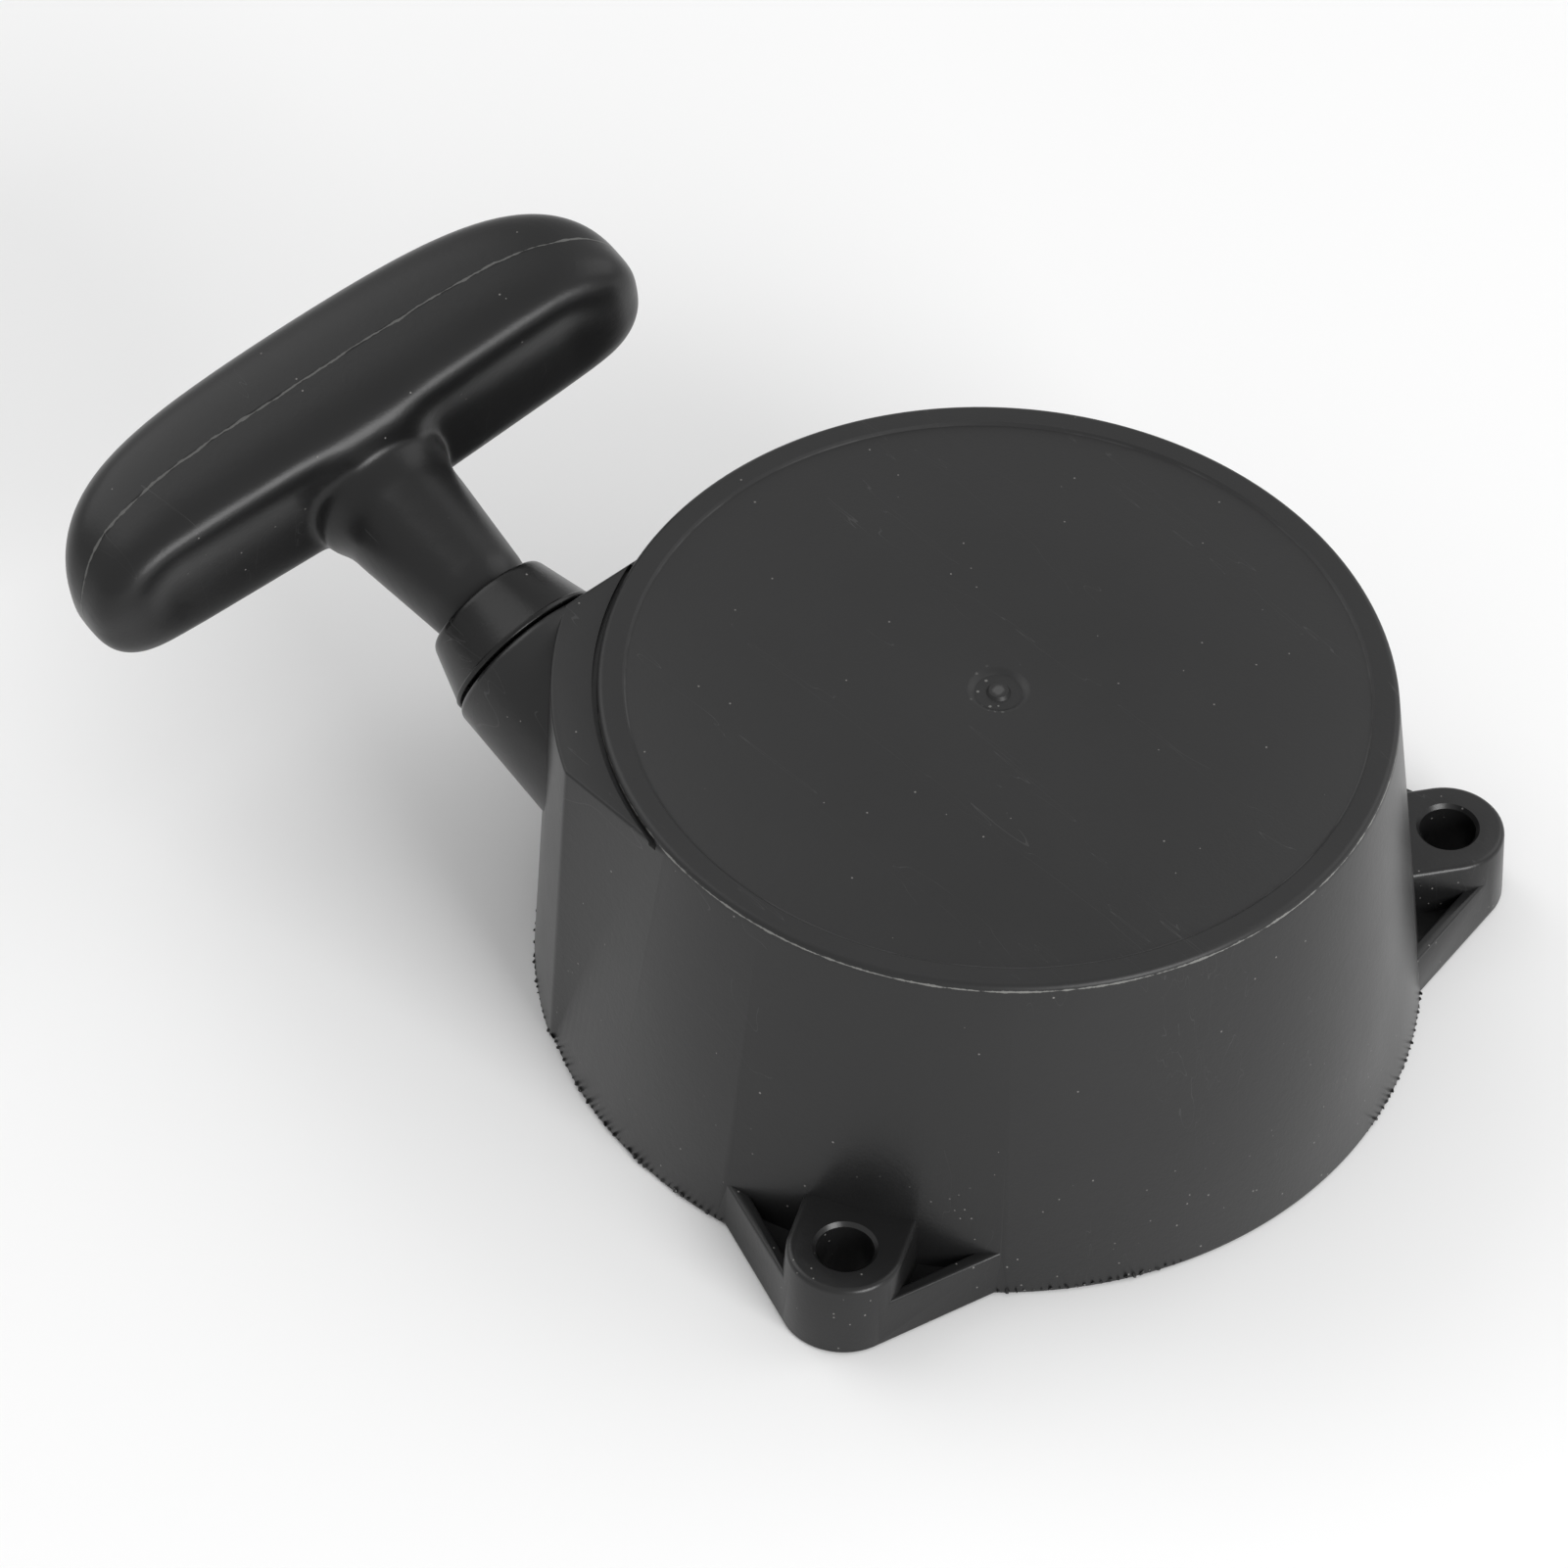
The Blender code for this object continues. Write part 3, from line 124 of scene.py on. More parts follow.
# The rope lies in two places to a layer, and each layer stands one pitch further out.
ROPE_RADIUS = 1.7 * MM
ROPE_OUTER_LAYER = 31.4 * MM
ROPE_LAYER_PITCH = 3.75 * MM
ROPE_COLUMN_PITCH = 3.7 * MM
ROPE_MIDDLE_HEIGHT = 30.0 * MM

SPRING_MIDDLE_HEIGHT = 40.2 * MM

# Corners closer than this are one corner.
WELD = 0.002 * MM

# How strongly each black plastic mirrors the lamps.
CUP_SHINE = 0.42
GRIP_SHINE = 0.34
GUIDE_SHINE = 0.32

PALE_FLASH = (0.2, 0.2, 0.19)
PALE_DUST = (0.32, 0.31, 0.3)

# The cup's axis, where the reel turns.
joints = {joint["name"]: joint for joint in frame["joints"]}
CUP_AXIS = Vector((*joints["reel_spin"]["pos_m"][:2], 0.0))

workshop = bpy.data.collections.new("workshop")
bpy.context.scene.collection.children.link(workshop)


# ---------------------------------------------------------------- node helpers


class Tree:
    """Short ways to add nodes to one material."""

    def __init__(self, name):
        self.material = bpy.data.materials.new(name)
        self.material.use_nodes = True
        self.nodes = self.material.node_tree.nodes
        self.links = self.material.node_tree.links
        self.shader = self.nodes["Principled BSDF"]
        self.place = self.nodes.new("ShaderNodeTexCoord").outputs["Object"]

    def set(self, socket, value):
        if hasattr(value, "is_output"):
            self.links.new(value, socket)
        else:
            socket.default_value = value

    def mapped(self, scale=(1, 1, 1), location=(0, 0, 0), rotation=(0, 0, 0), source=None):
        node = self.nodes.new("ShaderNodeMapping")
        self.links.new(source or self.place, node.inputs["Vector"])
        node.inputs["Scale"].default_value = scale
        node.inputs["Location"].default_value = location
        node.inputs["Rotation"].default_value = rotation
        return node.outputs["Vector"]

    def noise(self, scale, detail=3.0, roughness=0.55, source=None, distortion=0.0):
        node = self.nodes.new("ShaderNodeTexNoise")
        self.links.new(source or self.place, node.inputs["Vector"])
        node.inputs["Scale"].default_value = scale
        node.inputs["Detail"].default_value = detail
        node.inputs["Roughness"].default_value = roughness
        node.inputs["Distortion"].default_value = distortion
        return node.outputs["Fac"]

    def cells(self, scale, source=None, randomness=1.0):
        node = self.nodes.new("ShaderNodeTexVoronoi")
        self.links.new(source or self.place, node.inputs["Vector"])
        node.inputs["Scale"].default_value = scale
        node.inputs["Randomness"].default_value = randomness
        return node

    def math(self, operation, a, b=None, c=None, clamp=False):
        node = self.nodes.new("ShaderNodeMath")
        node.operation = operation
        node.use_clamp = clamp
        for socket, value in zip(node.inputs, (a, b, c)):
            if value is not None:
                self.set(socket, value)
        return node.outputs[0]

    def parts(self, source=None):
        node = self.nodes.new("ShaderNodeSeparateXYZ")
        self.links.new(source or self.place, node.inputs[0])
        return node.outputs

    def ramp(self, value, low, high, out_low=0.0, out_high=1.0):
        node = self.nodes.new("ShaderNodeMapRange")
        node.interpolation_type = "SMOOTHSTEP"
        self.set(node.inputs["Value"], value)
        limits = {"From Min": low, "From Max": high, "To Min": out_low, "To Max": out_high}
        for name, number in limits.items():
            node.inputs[name].default_value = number
        return node.outputs["Result"]

    def attribute(self, name):
        node = self.nodes.new("ShaderNodeAttribute")
        node.attribute_name = name
        return node.outputs["Fac"]

    def mix(self, share, a, b):
        node = self.nodes.new("ShaderNodeMix")
        node.data_type = "RGBA"
        self.set(node.inputs["Factor"], share)
        self.set(node.inputs[6], (*a, 1.0) if isinstance(a, tuple) else a)
        self.set(node.inputs[7], (*b, 1.0) if isinstance(b, tuple) else b)
        return node.outputs[2]

    def bump(self, height, distance, strength=1.0, after=None):
        node = self.nodes.new("ShaderNodeBump")
        node.inputs["Distance"].default_value = distance
        node.inputs["Strength"].default_value = strength
        self.links.new(height, node.inputs["Height"])
        if after is not None:
            self.links.new(after, node.inputs["Normal"])
        return node.outputs["Normal"]

    def finish(self, color, roughness, normal=None, metallic=0.0, **fixed):
        base = (*color, 1.0) if isinstance(color, tuple) else color
        self.set(self.shader.inputs["Base Color"], base)
        self.set(self.shader.inputs["Roughness"], roughness)
        self.shader.inputs["Metallic"].default_value = metallic
        if normal is not None:
            self.links.new(normal, self.shader.inputs["Normal"])
        for name, value in fixed.items():
            label = name.replace("_", " ").title().replace("Ior", "IOR")
            self.shader.inputs[label].default_value = value
        return self.material


# ---------------------------------------------------------------- finishes


def specks(tree, scale, size, density, source=None):
    """Small pale grains: the nearest cell's middle within a size, in the few cells that noise picks."""
    cell = tree.cells(scale, source)
    near = tree.math("LESS_THAN", cell.outputs["Distance"], size)
    pick = tree.nodes.new("ShaderNodeSeparateColor")
    tree.links.new(cell.outputs["Color"], pick.inputs[0])
    chosen = tree.math("LESS_THAN", pick.outputs[0], density)
    return tree.math("MULTIPLY", near, chosen)


def scratches(tree, turn, scale, width):
    """Fine straight lines: stretched noise close to its middle value, in patches."""
    lane = tree.mapped(scale=(1.0, 14.0, 3.0), rotation=(0.3, 0.2, turn))
    line = tree.noise(scale, 2.0, 0.5, lane, 0.4)
    off_middle = tree.math("ABSOLUTE", tree.math("SUBTRACT", line, 0.5))
    thin = tree.math("LESS_THAN", off_middle, width)
    patch = tree.math("GREATER_THAN", tree.noise(scale * 0.35, 1.0, 0.5, lane), 0.6)
    return tree.math("MULTIPLY", thin, patch)


def black_moulding(name, base, gloss, dusty=1.0):
    """Black nylon as it leaves a mould: a fine skin, faint clouding, hairline scratches and dust."""
    tree = Tree(name)
    cloud = tree.noise(55.0, 4.0)
    fine = tree.noise(2600.0, 2.0)
    pores = tree.noise(900.0, 3.0, 0.6)
    dust = specks(tree, 1100.0, 0.13, 0.02 * dusty)
    coarse = specks(tree, 420.0, 0.06, 0.03 * dusty)
    marks = scratches(tree, 0.7, 26.0, 0.0016)
    marks_across = scratches(tree, 2.3, 21.0, 0.0013)
    hair = tree.math("MAXIMUM", marks, marks_across)
    grain = tree.math("MAXIMUM", dust, coarse)
    dark = tuple(value * 0.8 for value in base)
    pale = tuple(value * 1.2 for value in base)
    color = tree.mix(cloud, dark, pale)
    color = tree.mix(tree.math("MULTIPLY", hair, 0.16), color, (0.12, 0.12, 0.12))
    color = tree.mix(tree.math("MULTIPLY", grain, 0.5), color, PALE_DUST)
    rough = tree.math("MULTIPLY_ADD", cloud, 0.12, gloss - 0.06)
    rough = tree.math("MULTIPLY_ADD", grain, 0.3, rough)
    normal = tree.bump(fine, 0.00002, 0.5)
    normal = tree.bump(pores, 0.00005, 0.35, normal)
    normal = tree.bump(grain, 0.00004, 0.4, normal)
    return tree, color, rough, normal


def cup_finish():
    """The cup's plastic, with the pale torn flash round its upper edge, dust above its ears and a
    painted highlight along the panel's step.
    """
    black = (0.01, 0.01, 0.0102)
    tree, color, rough, normal = black_moulding("black_nylon_moulding", black, 0.44)
    centred = tree.mapped(location=tuple(-value for value in CUP_AXIS))
    x, y, z = tree.parts(centred)
    squares = tree.math("ADD", tree.math("MULTIPLY", x, x), tree.math("MULTIPLY", y, y))
    radius = tree.math("SQRT", squares)
    on_top = tree.math("GREATER_THAN", z, CUP_HEIGHT - 1.0 * MM)

    ragged = tree.noise(420.0, 4.0, 0.75)
    edge_z = tree.math("ABSOLUTE", tree.math("SUBTRACT", z, CUP_HEIGHT - 0.7 * MM))
    reach = tree.math("MULTIPLY_ADD", ragged, 0.7 * MM, -0.26 * MM)
    on_edge = tree.math("LESS_THAN", edge_z, reach)
    from_edge = tree.math("ABSOLUTE", tree.math("SUBTRACT", radius, CUP_TOP_RADIUS))
    on_cup = tree.math("LESS_THAN", from_edge, 0.6 * MM)
    side = tree.math("ADD", x, tree.math("MULTIPLY", y, -0.6))
    off_block = tree.math("GREATER_THAN", side, -6.0 * MM)
    flash = tree.math("MULTIPLY", tree.math("MULTIPLY", on_edge, on_cup), off_block)

    # A faint paler line round the panel's step, in patches: a painted highlight on the step's wall.
    ring_gap = tree.math("ABSOLUTE", tree.math("SUBTRACT", radius, PANEL_RADIUS + 0.1 * MM))
    ring = tree.math("MULTIPLY", tree.math("LESS_THAN", ring_gap, 0.1 * MM), on_top)
    ring = tree.math("MULTIPLY", ring, tree.ramp(tree.noise(90.0, 3.0), 0.42, 0.62))

    torn = tree.math("MULTIPLY_ADD", tree.noise(900.0, 3.0), 0.9 * MM, radius)
    gate = tree.math("MULTIPLY", tree.ramp(torn, 1.35 * MM, 0.9 * MM), on_top)
    halo = tree.math("MULTIPLY", tree.ramp(radius, 4.6 * MM, 2.4 * MM),
                     specks(tree, 1500.0, 0.3, 0.14))
    halo = tree.math("MULTIPLY", halo, on_top)

    low = tree.ramp(z, 20.0 * MM, 8.0 * MM)
    fall = tree.math("MULTIPLY", specks(tree, 1300.0, 0.16, 0.07), low)

    color = tree.mix(tree.math("MULTIPLY", flash, 0.75), color, PALE_FLASH)
    # The ring mix below paints the step's highlight into the colour.
    color = tree.mix(tree.math("MULTIPLY", ring, 0.3), color, (0.09, 0.09, 0.09))
    color = tree.mix(tree.math("MULTIPLY", gate, 0.6), color, (0.075, 0.075, 0.075))
    color = tree.mix(tree.math("MULTIPLY", halo, 0.6), color, PALE_FLASH)
    color = tree.mix(tree.math("MULTIPLY", fall, 0.5), color, PALE_DUST)
    wall = tree.ramp(z, CUP_HEIGHT - 0.9 * MM, CUP_HEIGHT - 1.6 * MM)
    rough = tree.math("MULTIPLY_ADD", wall, -0.13, rough)
    snout = tree.ramp(x, -45.5 * MM, -47.0 * MM)
    rough = tree.math("MULTIPLY_ADD", snout, -0.08, rough)
    normal = tree.bump(flash, 0.0001, 0.6, normal)
    return tree.finish(color, rough, normal, specular_ior_level=CUP_SHINE)


def handle_finish():
    """The handle's plastic, with the pale torn parting line that the mesh's seam attribute follows."""
    black = (0.009, 0.009, 0.0092)
    tree, color, rough, normal = black_moulding("black_grip_moulding", black, 0.34, 0.8)
    wander = tree.math("MULTIPLY_ADD", tree.noise(160.0, 3.0), 1.0 * MM, -0.5 * MM)
    gap = tree.math("ABSOLUTE", tree.math("ADD", tree.attribute("seam"), wander))
    width = tree.math("MULTIPLY_ADD", tree.noise(420.0, 3.0, 0.7), 0.62 * MM, -0.18 * MM)
    line = tree.math("LESS_THAN", gap, width)
    step = tree.ramp(tree.attribute("seam"), -0.25 * MM, 0.25 * MM)
    color = tree.mix(tree.math("MULTIPLY", line, 0.6), color, (0.14, 0.14, 0.135))
    normal = tree.bump(step, 0.0001, 0.6, normal)
    normal = tree.bump(line, 0.0001, 0.6, normal)
    return tree.finish(color, rough, normal, specular_ior_level=GRIP_SHINE)


def guide_finish():
    """The guide's plastic, glossier than the cup's."""
    black = (0.005, 0.005, 0.005)
    tree, color, rough, normal = black_moulding("black_guide_moulding", black, 0.26, 0.5)
    return tree.finish(color, rough, normal, specular_ior_level=GUIDE_SHINE)


def reel_finish():
    """Natural nylon: an off-white skin with slow clouds and patches of grease film."""
    tree = Tree("natural_nylon")
    cloud = tree.noise(40.0, 3.0)
    fine = tree.noise(1500.0, 2.0)
    grime = tree.ramp(tree.noise(120.0, 4.0, 0.65), 0.5, 0.72)
    color = tree.mix(cloud, (0.56, 0.54, 0.48), (0.68, 0.66, 0.6))
    color = tree.mix(tree.math("MULTIPLY", grime, 0.35), color, (0.26, 0.23, 0.18))
    rough = tree.math("MULTIPLY_ADD", cloud, 0.2, 0.38)
    normal = tree.bump(fine, 0.00003, 0.4)
    return tree.finish(color, rough, normal, subsurface_weight=0.08)


def steel_finish(name, color, roughness, ripple):
    """Sheet or bar steel with a fine directional grain, stains and dulled patches."""
    tree = Tree(name)
    grain = tree.noise(500.0, 3.0, 0.6, tree.mapped(scale=(1.0, 1.0, ripple)))
    stain = tree.ramp(tree.noise(130.0, 4.0, 0.6), 0.45, 0.7)
    dark = tuple(value * 0.72 for value in color)
    tint = tree.mix(tree.math("MULTIPLY", stain, 0.5), color, dark)
    rough = tree.math("MULTIPLY_ADD", stain, 0.18, roughness)
    rough = tree.math("MULTIPLY_ADD", grain, 0.12, rough)
    normal = tree.bump(grain, 0.00002, 0.5)
    return tree.finish(tint, rough, normal, metallic=1.0)


def braid_finish():
    """A braided cord: two sets of strands that cross, from the tube's own map, with soiling and with
    painted shade where the strands sink between their crossings.
    """
    tree = Tree("braided_cord")
    tree.nodes.new("ShaderNodeUVMap").uv_map = "along"
    uv = tree.parts(tree.nodes["UV Map"].outputs["UV"])
    strands_round = 8.0
    strands_along = 900.0
    along = tree.math("MULTIPLY", uv[1], strands_along)
    first = tree.math("MULTIPLY_ADD", uv[0], strands_round, along)
    second = tree.math("MULTIPLY_ADD", uv[0], -strands_round, along)
    strand_a = tree.math("ABSOLUTE", tree.math("SINE", tree.math("MULTIPLY", first, math.pi)))
    strand_b = tree.math("ABSOLUTE", tree.math("SINE", tree.math("MULTIPLY", second, math.pi)))
    both = tree.math("MULTIPLY", tree.math("ADD", first, second), math.pi)
    over = tree.math("GREATER_THAN", tree.math("SINE", both), 0.0)
    height_a = tree.math("MULTIPLY", strand_a, over)
    height_b = tree.math("MULTIPLY", strand_b, tree.math("SUBTRACT", 1.0, over))
    weave = tree.math("ADD", height_a, height_b)
    fibre = tree.noise(2600.0, 3.0, 0.7)
    soil = tree.ramp(tree.noise(150.0, 4.0), 0.45, 0.75)
    # Pale where a strand stands high, dark where it sinks between crossings: painted shade in the
    # weave's grooves. The soil mix after it is dirt.
    color = tree.mix(weave, (0.34, 0.33, 0.3), (0.78, 0.77, 0.73))
    color = tree.mix(tree.math("MULTIPLY", soil, 0.35), color, (0.3, 0.28, 0.24))
    normal = tree.bump(weave, 0.0003, 0.9)
    normal = tree.bump(fibre, 0.00004, 0.6, normal)
    return tree.finish(color, 0.8, normal, sheen_weight=0.25)


# ---------------------------------------------------------------- mesh helpers


def bench_object(name, mesh):
    obj = bpy.data.objects.new(name, mesh)
    workshop.objects.link(obj)
    return obj


def mesh_from(bm, name):
    mesh = bpy.data.meshes.new(name)
    bmesh.ops.recalc_face_normals(bm, faces=bm.faces)
    bm.to_mesh(mesh)
    bm.free()
    return mesh


def arc(radius, start, end, steps, centre=(0.0, 0.0)):
    return [
        (
            centre[0] + radius * math.cos(start + (end - start) * step / steps),
            centre[1] + radius * math.sin(start + (end - start) * step / steps),
        )
        for step in range(steps + 1)
    ]


def rounded(points, radius, steps=4):
    """The (radius, height) profile with each inner corner cut back into a short arc."""
    result = [points[0]]
    for before, corner, after in zip(points, points[1:], points[2:]):
        b, c, a = (Vector(point) for point in (before, corner, after))
        reach = min(radius, (b - c).length * 0.45, (a - c).length * 0.45)
        start = c + (b - c).normalized() * reach
        end = c + (a - c).normalized() * reach
        for step in range(steps + 1):
            share = step / steps
            result.append(tuple(start.lerp(c, share).lerp(c.lerp(end, share), share)))
    result.append(points[-1])
    return result


def turned(name, profile, segments=192, closed=False):
    """Spins (radius, height) points about Z into a closed skin."""
    bm = bmesh.new()
    rings = []
    for radius, height in profile:
        if radius < 1e-7:
            rings.append([bm.verts.new((0.0, 0.0, height))])
            continue
        rings.append([
            bm.verts.new((radius * math.cos(2 * math.pi * step / segments),
                          radius * math.sin(2 * math.pi * step / segments), height))
            for step in range(segments)
        ])
    pairs = list(zip(rings, rings[1:]))
    if closed:
        pairs.append((rings[-1], rings[0]))
    for first, second in pairs:
        for step in range(segments):
            following = (step + 1) % segments
            corners = [first[step % len(first)], first[following % len(first)],
                       second[following % len(second)], second[step % len(second)]]
            corners = list(dict.fromkeys(corners))
            if len(corners) > 2:
                bm.faces.new(corners)
    return bench_object(name, mesh_from(bm, name))


def prism(name, lower, upper, bottom, top):
    bm = bmesh.new()
    low = [bm.verts.new((x, y, bottom)) for x, y in lower]
    high = [bm.verts.new((x, y, top)) for x, y in upper]
    bm.faces.new(reversed(low))
    bm.faces.new(high)
    for index in range(len(low)):
        following = (index + 1) % len(low)
        bm.faces.new((low[index], low[following], high[following], high[index]))
    return bench_object(name, mesh_from(bm, name))


def rod(name, radius, depth, location, direction=(0.0, 0.0, 1.0), segments=64):
    bm = bmesh.new()
    turn = Vector(direction).to_track_quat("Z", "Y").to_matrix().to_4x4()
    bmesh.ops.create_cone(bm, cap_ends=True, segments=segments, radius1=radius, radius2=radius,
                          depth=depth, matrix=Matrix.Translation(location) @ turn)
    return bench_object(name, mesh_from(bm, name))


def soften(obj, width, segments=3, angle=30.0):
    bevel = obj.modifiers.new("Soft edges", "BEVEL")
    bevel.width = width
    bevel.segments = segments
    bevel.limit_method = "ANGLE"
    bevel.angle_limit = math.radians(angle)
    bevel.harden_normals = False
    return obj


def combine(target, other, operation):
    boolean = target.modifiers.new(f"{operation.title()} {other.name}", "BOOLEAN")
    boolean.operation = operation
    boolean.solver = "EXACT"
    boolean.object = other


def baked(obj, name, matrix=Matrix.Identity(4), smooth_angle=40.0):
    """The object with its modifiers worked in, as a new object at the origin."""
    bpy.context.view_layer.update()
    evaluated = obj.evaluated_get(bpy.context.evaluated_depsgraph_get())
    mesh = bpy.data.meshes.new_from_object(evaluated)
    mesh.name = name
    mesh.transform(matrix @ obj.matrix_world)
    bm = bmesh.new()
    bm.from_mesh(mesh)
    bmesh.ops.remove_doubles(bm, verts=bm.verts, dist=WELD)
    bmesh.ops.dissolve_degenerate(bm, edges=bm.edges, dist=WELD)
    bm.to_mesh(mesh)
    bm.free()
    mesh.shade_smooth()
    mesh.set_sharp_from_angle(angle=math.radians(smooth_angle))
    made = bpy.data.objects.new(name, mesh)
    bpy.context.scene.collection.objects.link(made)
    return made


def put_down(obj, material, body, nodes):
    """Gives a finished piece its finish and its place in the frame."""
    obj.data.materials.clear()
    obj.data.materials.append(material)
    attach(obj, body)
    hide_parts(*nodes)


# From the cup's own axis to the frame's, and from the outlet's middle and direction to the cup's.
TO_ROW = Matrix.Translation(CUP_AXIS)
ALONG_OUTLET = (
    Matrix.Translation(OUTLET_POINT) @ OUTLET_AXIS.to_track_quat("Z", "Y").to_matrix().to_4x4()
)


# ---------------------------------------------------------------- cup


def cup_radius(height):
    return CUP_BASE_RADIUS + (CUP_TOP_RADIUS - CUP_BASE_RADIUS) * height / CUP_HEIGHT


def block_outline(inset, spread):
    reach_x = BLOCK_REACH_X - inset + spread
    reach_y = BLOCK_REACH_Y - inset + spread
    radius = BLOCK_CORNER_RADIUS - inset + spread
    start = math.atan2(-math.sqrt(radius**2 - reach_x**2), -reach_x)
    end = math.atan2(-reach_y, -math.sqrt(radius**2 - reach_y**2))
    inner = -BLOCK_REACH_X / 2
    return [(inner, inner), (-reach_x, 0.0), *arc(radius, start, end, 24), (0.0, -reach_y)]


def boss_end(radius, half_angle):
    return arc(radius, -half_angle, half_angle, 40, (EAR_CIRCLE_RADIUS, 0.0))


def web_outline(radius, spread, inside):
    reach = EAR_CIRCLE_RADIUS - EAR_WEB_INNER
    tangent = math.atan2(spread, -reach) - math.acos(radius / math.hypot(reach, spread))
    return [(inside, -spread), (EAR_WEB_INNER, -spread), *boss_end(radius, tangent),
            (EAR_WEB_INNER, spread), (inside, spread)]


def make_ear(index, angle):
    inside = EAR_WEB_INNER - 3.0 * MM
    boss_levels = []
    web_levels = []
    for draft in (0.0, EAR_DRAFT):
        radius = EAR_BOSS_RADIUS - draft
        boss_levels.append([(inside, -radius), *boss_end(radius, math.pi / 2), (inside, radius)])
        web_levels.append(web_outline(radius, EAR_WEB_SPREAD - draft, inside))
    boss = soften(prism(f"boss_{index}", *boss_levels, 0.0, EAR_BOSS_HEIGHT), 0.7 * MM, 4)
    web = prism(f"web_{index}", *web_levels, 0.0, EAR_WEB_HEIGHT)
    tray_outline = web_outline(EAR_BOSS_RADIUS - EAR_DRAFT - EAR_TRAY_WALL,
                               EAR_WEB_SPREAD - 2 * EAR_TRAY_WALL, inside - CUP_WALL)
    tray = prism(f"tray_{index}", tray_outline, tray_outline,
                 EAR_WEB_HEIGHT - EAR_TRAY_DEPTH, EAR_BOSS_HEIGHT)
    combine(web, tray, "DIFFERENCE")
    soften(web, 0.35 * MM, 3)
    for piece in (boss, web, tray):
        piece.rotation_euler = (0.0, 0.0, angle)
    return web, boss


